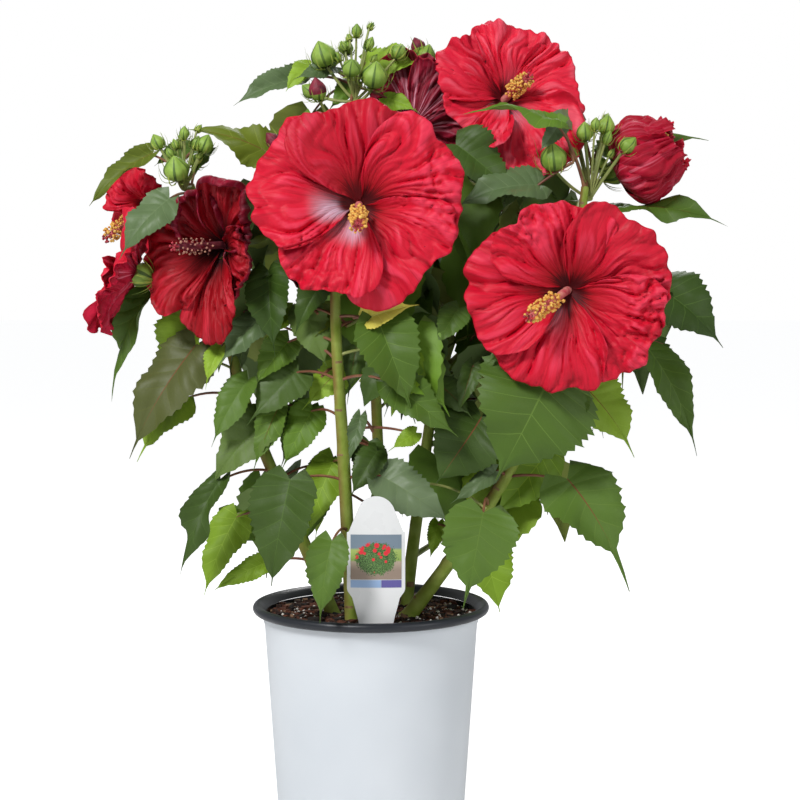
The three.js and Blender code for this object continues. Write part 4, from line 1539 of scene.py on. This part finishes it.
# each leaf: from and to as shares of its mass's width and height, width over length, tint, what is special
frontLeaves = {
    "leaves_over_rim": [((0.6, 1.0), (0.36, 0.0), 0.5, "mid", {})],
    "leaves_low_front_right": [((0.6, 0.98), (0.3, 0.0), 0.78, "mid", {"fold": 0.12})],
    "leaves_right_big": [
        ((0.53, 0.97), (0.04, 0.0), 1.08, "mid", {"fold": 0.12}),
        ((0.75, 0.9), (0.8, 0.4), 0.5, "mid", {"behind": 16}),
        ((0.24, 1.26), (-0.04, 1.08), 0.62, "mid", {"behind": 10}),
    ],
    "leaves_centre_big": [
        ((0.18, 0.98), (0.56, 0.15), 0.62, "mid", {}),
        ((0.3, 0.48), (1.0, 0.04), 0.5, "mid", {}),
        ((0.0, 0.95), (-0.15, 0.27), 0.4, "dark", {"behind": 50}),
        ((0.57, 0.06), (0.27, -0.09), 0.55, "lime", {"behind": 10}),
        ((0.06, 0.98), (0.6, 1.1), 0.8, "straw", {"behind": 4, "fold": 0.8}),
        ((0.0, 0.2), (-0.13, -0.24), 0.3, "blueGrey", {"twist": 0.9, "behind": 8}),
        ((1.01, 1.07), (0.74, 0.72), 0.62, "mid", {"behind": 12}),
    ],
    "leaves_centre_right": [
        ((0.72, 0.55), (0.08, 0.02), 0.95, "dark", {"fold": 0.1}),
        ((0.08, 0.82), (0.6, 0.53), 0.6, "dark", {"behind": 6}),
        ((0.6, 0.98), (0.4, 0.6), 0.5, "dark", {"twist": 0.9}),
        ((0.92, 0.1), (0.27, -0.16), 0.36, "blueGrey", {"twist": 0.7, "behind": 4}),
    ],
    "leaves_centre_low": [
        ((0.1, 0.95), (1.0, 0.02), 0.62, "blueGrey", {}),
        ((-0.05, 1.6), (-0.15, 0.75), 0.8, "dark", {"behind": 24}),
        ((0.06, 1.42), (-0.3, 0.46), 0.6, "dark", {"behind": 14}),
    ],
    "leaves_left_shoulder": [
        ((0.48, 0.97), (0.54, 0.15), 0.6, "dark", {}),
        ((0.45, 0.56), (0.04, 0.0), 0.45, "blueGrey", {"twist": 0.8}),
        ((1.0, 0.6), (0.73, 0.2), 0.5, "olive", {"behind": 6}),
        ((0.96, 0.9), (0.7, 0.35), 0.55, "dark", {"behind": -4}),
        ((0.68, 0.6), (0.46, 0.32), 0.7, "lime", {"behind": 12}),
        ((0.77, 0.62), (0.96, 0.06), 0.62, "mid", {"behind": 4}),
        ((0.64, 0.3), (0.32, -0.2), 0.6, "fresh", {"behind": 16}),
        ((0.08, 0.24), (-0.04, -0.16), 0.5, "lime", {"behind": 8}),
    ],
    "leaves_left_middle": [
        ((0.95, 0.95), (0.42, 0.45), 0.7, "dark", {}),
        ((0.42, 0.86), (0.05, 0.25), 0.5, "mid", {}),
        ((0.74, 0.62), (0.47, 0.0), 0.45, "fresh", {"behind": 6}),
        ((1.38, 0.96), (0.98, 0.58), 0.62, "lime", {"behind": 14}),
        ((1.09, 0.59), (0.77, 0.03), 0.55, "fresh", {"behind": 8}),
        ((0.62, 0.5), (0.03, -0.13), 0.62, "mid", {"behind": 16}),
    ],
    "leaves_low_left_big": [((0.75, 1.0), (0.47, 0.0), 0.65, "dark", {})],
    "leaves_low_left_middle": [
        ((0.52, 1.0), (0.1, 0.53), 0.6, "mid", {}),
        ((0.92, 0.6), (0.5, 0.02), 0.5, "lime", {}),
        ((0.78, 0.56), (0.48, -0.05), 0.5, "fresh", {"behind": 14}),
    ],
    "leaves_low_left_narrow": [((1.0, 0.98), (0.0, 0.0), 0.3, "dark", {"twist": 1.0})],
    "leaves_low_left_lime": [
        ((0.5, 1.0), (0.0, 0.0), 0.5, "lime", {}),
        ((1.0, 0.4), (0.15, 0.06), 0.4, "lime", {}),
    ],
    "leaves_low_right_lime": [
        ((0.97, 0.97), (0.25, 0.52), 0.6, "lime", {}),
        ((0.12, 0.42), (0.36, -0.1), 0.72, "lime", {}),
        ((-0.41, 0.48), (-0.52, 0.24), 0.45, "lime", {"behind": 10}),
    ],
    "leaves_low_right_single": [((0.2, 0.86), (0.95, 0.0), 0.64, "mid", {"fold": 0.15, "tail": 0.66})],
    "leaves_right_lime": [((0.2, 1.0), (0.95, 0.02), 0.75, "lime", {})],
    "leaves_right_twisted": [((0.1, 1.0), (0.95, 0.0), 0.38, "mid", {"twist": 1.3})],
    "leaves_right_dark": [
        ((0.1, 0.72), (0.97, 0.04), 0.8, "dark", {}),
        ((0.24, 0.08), (-0.3, -0.1), 0.45, "dark", {"behind": 8}),
    ],
    "leaves_far_right_tip": [((0.0, 0.85), (1.0, 0.4), 0.35, "mid", {"face": (0, -0.5, 0.8)})],
    "leaves_right_high_tip": [((-0.35, 0.4), (1.0, 0.55), 0.26, "mid", {"face": (0, -0.5, 0.8)})],
    "leaves_upper_right": [
        ((1.0, 0.88), (0.1, 0.95), 0.28, "fresh", {"face": (0, -0.4, 0.9), "behind": -26}),
        ((0.05, 0.7), (0.56, 0.25), 0.9, "dark", {"behind": 5}),
        ((0.85, 0.3), (0.05, 0.08), 0.55, "blueGrey", {"face": (0, -0.8, 0.6)}),
        ((1.05, 0.92), (0.84, 0.62), 0.6, "blueGrey", {"behind": -6}),
    ],
    "leaves_top_centre": [((0.1, 0.4), (1.0, 0.25), 0.62, "lime", {"face": (0, -0.8, 0.6), "behind": -6})],
    "leaves_top_left_grey": [((1.0, 0.9), (0.0, 0.06), 0.46, "blueGrey", {"face": (0, -0.85, 0.5)})],
    "leaves_top_left_narrow": [((1.0, 0.2), (0.0, 0.9), 0.5, "olive", {"face": (0, -0.8, 0.6)})],
    "leaves_far_left_olive": [
        ((0.95, 0.92), (0.0, 0.03), 0.34, "olive", {"fold": 0.7}),
        ((1.6, 1.0), (0.97, 0.7), 0.55, "mid", {"behind": 12}),
    ],
    "leaves_left_blue": [((0.82, 0.82), (0.1, 0.02), 0.55, "blueGrey", {"behind": -18})],
    "leaves_left_drip": [
        ((0.61, 1.0), (0.04, -0.03), 0.28, "mid", {"twist": 0.8}),
        ((1.29, 0.72), (0.75, 0.02), 0.7, "lime", {"behind": 10}),
    ],
    "leaves_far_left_low": [
        ((1.0, 1.0), (0.05, 0.06), 0.5, "bronze", {"fold": 0.2}),
        ((0.76, 0.54), (0.13, 0.02), 0.7, "lime", {"behind": 14}),
    ],
    "buds_centre": [
        ((0.3, 0.55), (-0.12, 0.3), 0.55, "blueGrey", {"behind": 4}),
        ((0.8, 0.0), (1.15, -0.3), 0.5, "lime", {}),
        ((0.05, 0.6), (-0.2, 0.1), 0.6, "lime", {"behind": 10}),
        ((0.5, 0.3), (0.2, -0.3), 0.5, "fresh", {"behind": 18}),
    ],
    "buds_right": [
        ((0.4, 0.86), (-0.02, 0.98), 0.6, "blueGrey", {"behind": 4}),
        ((0.6, 0.6), (0.98, 0.2), 0.5, "fresh", {"behind": 16}),
    ],
    "buds_left": [((0.6, 0.3), (0.98, 0.75), 0.4, "mid", {"behind": 14})],
}

leafSeed = 0
for node, leaves in frontLeaves.items():
    for (fromAcross, fromHeight), (toAcross, toHeight), ratio, tint, special in leaves:
        leafSeed += 1
        behind = special.get("behind", 0)
        base = spotIn(node, fromAcross, fromHeight, behind + 8)
        tip = spotIn(node, toAcross, toHeight, behind - 5)
        side = base.x / 300
        face = Vector(special.get("face", (side * 0.6, -1, 0.4)))
        leaf(base, tip, face, ratio, tint, special.get("twist", 0.0), special.get("fold"),
             special.get("tail"), seed=leafSeed)
        place, radius = nearestLimb(base, 0.6)
        petiole(base, place, radius, tip, leafSeed)
print("front leaves made:", leafSeed)

# more leaves grown by rule behind the named ones, inside each front mass
fillLook = {
    "room": 2300,              # square millimetres of the mass's front for each leaf
    "across": (0.2, 0.8),      # shares of the mass that leaves start from
    "height": (0.62, 0.96),
    "behind": (16, 34),
    "length": (50, 84),
    "ratio": (0.5, 0.85),
    "swing": 1.1,
    "edge": 3,
    "masses": (
        "centre_big", "centre_low", "low_left_middle", "low_left_lime", "right_lime", "low_right_lime",
    ),
    "tints": {                 # by the tint of the mass's first leaf
        "lime": ("lime", "lime", "fresh"),
        "mid": ("fresh", "mid", "lime", "dark"),
        "blueGrey": ("mid", "blueGrey", "dark"),
    },
}

# where the sky shows between the leaves, seen from before: across, up and radius
openings = (
    (-151, 392, 26), (-94, 379, 10), (-50, 385, 13), (-3, 389, 10), (38, 388, 12), (-70, 471, 12),
    (-33, 302, 10), (80, 470, 8), (178, 639, 15), (217, 352, 26), (160, 271, 22), (-180, 337, 20),
    (50, 281, 9), (-209, 489, 15), (-124, 267, 12), (255, 399, 14),
)
openingEdge = (18, 5)      # kept clear by the broad and the narrow end of a leaf
viewFrom = Vector((27.6, -1713, 541))      # the camera's place


def closesOpening(base, tip):
    # whether a leaf would stand before one of the openings
    for share in (0.1, 0.4, 0.7, 1.0):
        spot = base.lerp(tip, share)
        seen = viewFrom + (spot - viewFrom) * (-viewFrom.y / (spot.y - viewFrom.y))
        clear = mix(*openingEdge, share)
        if any(math.hypot(seen.x - x, seen.z - z) < radius + clear for x, z, radius in openings):
            return True
    return False


def fillBehind(node, seed):
    # a few hanging leaves inside the mass, behind the named ones
    draw = random.Random(seed)
    low, high = boxOf(node)
    size = high - low
    tints = fillLook["tints"][frontLeaves[node][0][3]]
    for k in range(round(size.x * size.z / fillLook["room"])):
        across, height = draw.uniform(*fillLook["across"]), draw.uniform(*fillLook["height"])
        base = spotIn(node, across, height, draw.uniform(*fillLook["behind"]))
        swing = draw.uniform(-fillLook["swing"], fillLook["swing"])
        heading = Vector((math.sin(swing), draw.uniform(-0.35, 0.1), -math.cos(swing)))
        tip = base + heading * min(draw.uniform(*fillLook["length"]), size.z)
        base = kept(base, low, high, fillLook["edge"])
        tip = kept(tip, low, high, fillLook["edge"])
        if closesOpening(base, tip):
            continue
        face = Vector((swing * 0.4 + draw.uniform(-0.3, 0.3), -1, draw.uniform(0.1, 0.6)))
        leaf(base, tip, face, draw.uniform(*fillLook["ratio"]), draw.choice(tints), draw.uniform(-0.4, 0.4),
             seed=seed * 9 + k, plain=True)
        place, radius = nearestLimb(base, 0.6)
        petiole(base, place, radius, tip, seed * 9 + k, k % 2)


for seed, mass in enumerate(fillLook["masses"]):
    fillBehind("leaves_" + mass, seed + 300)
print("leaves behind made")

sprayLook = {
    "from": 0.2,           # of the mass's height, how far under its middle the twig leaves a limb
    "heel": (0.1, 0.1),    # how far under and inside the middle it turns up
    "crest": (0.36, 0.12),     # how far over and outside the middle it ends
    "radii": (3.0, 1.6),
    "turn": 2.4,           # each leaf stands this far round the twig from the last
    "stray": 0.4,
    "stalk": (18, 34),
    "stalkRise": (0, 12),
    "drop": (0.45, 0.95),
    "leafLength": (80, 112),
    "ratio": (0.5, 0.78),
    "twist": 0.5,
    "room": 5,             # kept clear inside the mass's box
}

# twigs and leaves grown by rule: how many leaves a mass carries, and the tints that they draw from
ruledSprays = {
    "leaves_back_top": (14, ("mid", "dark", "fresh", "mid")),
    "leaves_back_top_right": (11, ("mid", "dark", "fresh", "blueGrey")),
    "leaves_back_upper_left": (11, ("dark", "mid", "dark", "olive")),
    "leaves_back_upper_right": (14, ("mid", "dark", "mid", "blueGrey")),
    "leaves_back_left": (10, ("dark", "mid", "dark", "fresh")),
    "leaves_back_middle": (14, ("dark", "mid", "mid", "fresh")),
    "leaves_back_right": (12, ("dark", "mid", "lime", "dark")),
    "leaves_back_low_left": (9, ("mid", "lime", "dark", "fresh")),
    "leaves_back_low_right": (10, ("mid", "lime", "dark", "fresh")),
}


def spray(node, count, tints, seed):
    # a twig from the nearest limb up through the mass, with leaves round its upper half
    draw = random.Random(seed)
    low, high = boxOf(node)
    size = high - low
    middle = (low + high) / 2
    outward = Vector((middle.x, middle.y, 0)).normalized()
    foot, radius = nearestLimb(middle - up * size.z * sprayLook["from"], 0.5)
    under, inside = sprayLook["heel"]
    heel = middle - up * size.z * under - outward * size.y * inside
    over, outside = sprayLook["crest"]
    crest = middle + up * size.z * over + outward * size.y * outside
    twig = bend(foot, foot.lerp(heel, 0.6) + up * 4, heel, 8)
    twig += bend(heel, heel.lerp(crest, 0.5), crest, 6)[1:]
    last = len(twig) - 1
    thick, thin = sprayLook["radii"]
    tube(stalks, twig, tapering(min(radius, thick), thin, last), 8)
    stray, twist = sprayLook["stray"], sprayLook["twist"]
    for k in range(count):
        turn = k * sprayLook["turn"] + draw.uniform(-stray, stray)
        share = mix(0.5, 1.0, (k + 0.5) / count)
        joint = twig[round(share * last)]
        away = Vector((math.cos(turn), math.sin(turn), 0)) + outward * 0.45
        away.normalize()
        length = draw.uniform(*sprayLook["leafLength"]) * mix(1.0, 0.72, max(share - 0.75, 0) * 4)
        base = joint + away * draw.uniform(*sprayLook["stalk"]) + up * draw.uniform(*sprayLook["stalkRise"])
        base = kept(base, low, high, sprayLook["room"] * 2)
        drop = draw.uniform(*sprayLook["drop"])
        tip = base + (away * (1 - drop * 0.45) - up * drop).normalized() * length
        tip = kept(tip, low, high, sprayLook["room"])
        if (tip - base).length < length * 0.45:
            base = base.lerp(joint, 0.8)
        if closesOpening(base, tip):
            continue
        face = away * draw.uniform(0.7, 1.0) + up * draw.uniform(0.4, 0.8)
        tint = tints[k % len(tints)]
        leaf(base, tip, face, draw.uniform(*sprayLook["ratio"]), tint, draw.uniform(-twist, twist),
             seed=seed * 50 + k, plain=True)
        petiole(base, joint, thin, tip, seed * 50 + k)


for seed, (node, (count, tints)) in enumerate(ruledSprays.items()):
    spray(node, count, tints, seed + 5)
print("ruled sprays made")

# leaves on the far side of every limb, only where something in front hides them from before
rearLook = {
    "gap": 10,             # along the limb, between two leaves
    "forward": 3,          # every third leaf stands between its limb and the leaves ahead
    "from": 0.2,           # of the limb's length, where the first one stands
    "sweep": (0.08, 0.92),     # of a half turn, round the far side of the limb
    "rise": (0.1, 0.5),
    "drop": (0.7, 1.1),
    "stalk": (34, 92),
    "length": (84, 116),
    "furthest": 246,
    "margin": 6,
    "tints": ("mid", "dark", "mid", "fresh", "dark", "olive"),
}
leafyNodes = [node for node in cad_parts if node.startswith(("leaves_", "bloom_"))]
screens = [boxOf(node) for node in leafyNodes if "back" not in node]


def screened(spot):
    # whether something covers the spot from before, and the spot lies behind all of it
    edge = rearLook["margin"]
    ahead = [high.y for low, high in screens
             if low.x - edge < spot.x < high.x + edge and low.z - edge < spot.z < high.z + edge]
    return bool(ahead) and spot.y > max(ahead) - edge


def rearLeaves(limb, seed):
    draw = random.Random(seed)
    count = int(limb.length / rearLook["gap"])
    for k in range(count):
        place, radius = limb.at(mix(rearLook["from"], 0.98, (k + draw.random()) / count))
        turn = math.pi * draw.uniform(*rearLook["sweep"])
        ahead = -0.5 if k % rearLook["forward"] == 0 else 1
        out = Vector((math.cos(turn), math.sin(turn) * ahead, draw.uniform(*rearLook["rise"])))
        base = place + out * draw.uniform(*rearLook["stalk"])
        drop = Vector((out.x * 0.5, out.y * 0.5, -draw.uniform(*rearLook["drop"]))).normalized()
        tip = base + drop * draw.uniform(*rearLook["length"])
        if tip.y > rearLook["furthest"] or closesOpening(base, tip) or not (screened(base) and screened(tip)):
            continue
        face = Vector((out.x, out.y, draw.uniform(0.3, 0.8)))
        tint = rearLook["tints"][k % len(rearLook["tints"])]
        ratio = draw.uniform(*sprayLook["ratio"])
        twist = draw.uniform(-sprayLook["twist"], sprayLook["twist"])
        leaf(base, tip, face, ratio, tint, twist, seed=seed * 40 + k, plain=True)
        petiole(base, place, radius, tip, seed * 40 + k, k % 2)


for seed, limb in enumerate(limbs.values()):
    rearLeaves(limb, seed + 700)

limeMasses = (
    "leaves_low_left_lime", "leaves_low_right_lime", "leaves_right_lime", "leaves_top_centre",
    "leaves_top_left_narrow",
)
otherMasses = {}
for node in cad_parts:
    if node.startswith("leaves_"):
        first = frontLeaves[node][0][3] if node in frontLeaves else ruledSprays[node][1][0]
        main = "lime" if node in limeMasses else first
        otherMasses.setdefault(main, []).append(node)
for tint, gathered in leafGathers.items():
    piece = gathered.piece("leaves_" + tint, leafMaterials(tint), 80)
    wear(piece, "leaf_lime" if tint == "lime" else "leaf_green", *otherMasses.get(tint, []))
wear(stalks.piece("stalks", [petioleGreen, petioleRed], 60), "cane_bark")
print("leaves made:", {tint: len(gathered.faces) for tint, gathered in leafGathers.items()})

stageLook = {
    "floor": 40,
    "floorDrop": 0.0005,
    "paperGlow": 0.7,
    "ambient": 0.34,
    "pitch": 86.06,
    "lens": 81.6,
    "sensor": 36,
    # name, place in metres, watts and size
    "lamps": (
        ("keyLight", (-1.0, -1.6, 1.9), 42, 0.5),
        ("fillLight", (1.5, -1.3, 1.0), 7, 1.0),
        ("backLight", (0.4, 1.5, 1.9), 16, 0.9),
    ),
    "aim": (0, 0, 0.5),
}


def buildStage():
    # white paper under the pot, and a white surround that lights it softly
    bpy.ops.object.select_all(action="DESELECT")
    bpy.ops.mesh.primitive_plane_add(size=stageLook["floor"], location=(0, 0, -stageLook["floorDrop"]))
    floor = bpy.context.object
    floor.name = "studioFloor"
    paper = Finish("studioPaper", (0.85, 0.85, 0.85, 1), 0.95, Emission_Color=(1, 1, 1, 1))
    seen = paper.nodes.new("ShaderNodeLightPath").outputs["Is Camera Ray"]
    glow = paper.maths("MULTIPLY", seen, stageLook["paperGlow"])
    paper.link(glow, paper.shader.inputs["Emission Strength"])
    floor.data.materials.append(paper.material)

    world = bpy.data.worlds.new("studioLight")
    bpy.context.scene.world = world
    world.use_nodes = True
    nodes, link = world.node_tree.nodes, world.node_tree.links.new
    ambient = nodes["Background"]
    ambient.inputs["Color"].default_value = (0.96, 0.98, 1, 1)
    ambient.inputs["Strength"].default_value = stageLook["ambient"]
    paper = nodes.new("ShaderNodeBackground")
    paths = nodes.new("ShaderNodeLightPath")
    chosen = nodes.new("ShaderNodeMixShader")
    link(paths.outputs["Is Camera Ray"], chosen.inputs["Fac"])
    link(ambient.outputs["Background"], chosen.inputs[1])
    link(paper.outputs["Background"], chosen.inputs[2])
    paper.inputs["Color"].default_value = (1, 1, 1, 1)
    link(chosen.outputs["Shader"], nodes["World Output"].inputs["Surface"])


def areaLight(name, spot, power, size):
    lamp = bpy.data.lights.new(name, "AREA")
    lamp.energy = power
    lamp.size = size
    thing = bpy.data.objects.new(name, lamp)
    thing.location = spot
    aim = Vector(stageLook["aim"]) - Vector(spot)
    thing.rotation_euler = aim.to_track_quat("-Z", "Y").to_euler()
    bpy.context.collection.objects.link(thing)


buildStage()
for lamp in stageLook["lamps"]:
    areaLight(*lamp)

camera = bpy.data.cameras.new("camera")
camera.lens = stageLook["lens"]
camera.sensor_width = stageLook["sensor"]
viewer = bpy.data.objects.new("camera", camera)
viewer.location = viewFrom * mm
viewer.rotation_euler = (math.radians(stageLook["pitch"]), 0, 0)
bpy.context.collection.objects.link(viewer)
bpy.context.scene.camera = viewer
bpy.context.scene.view_settings.view_transform = "Standard"
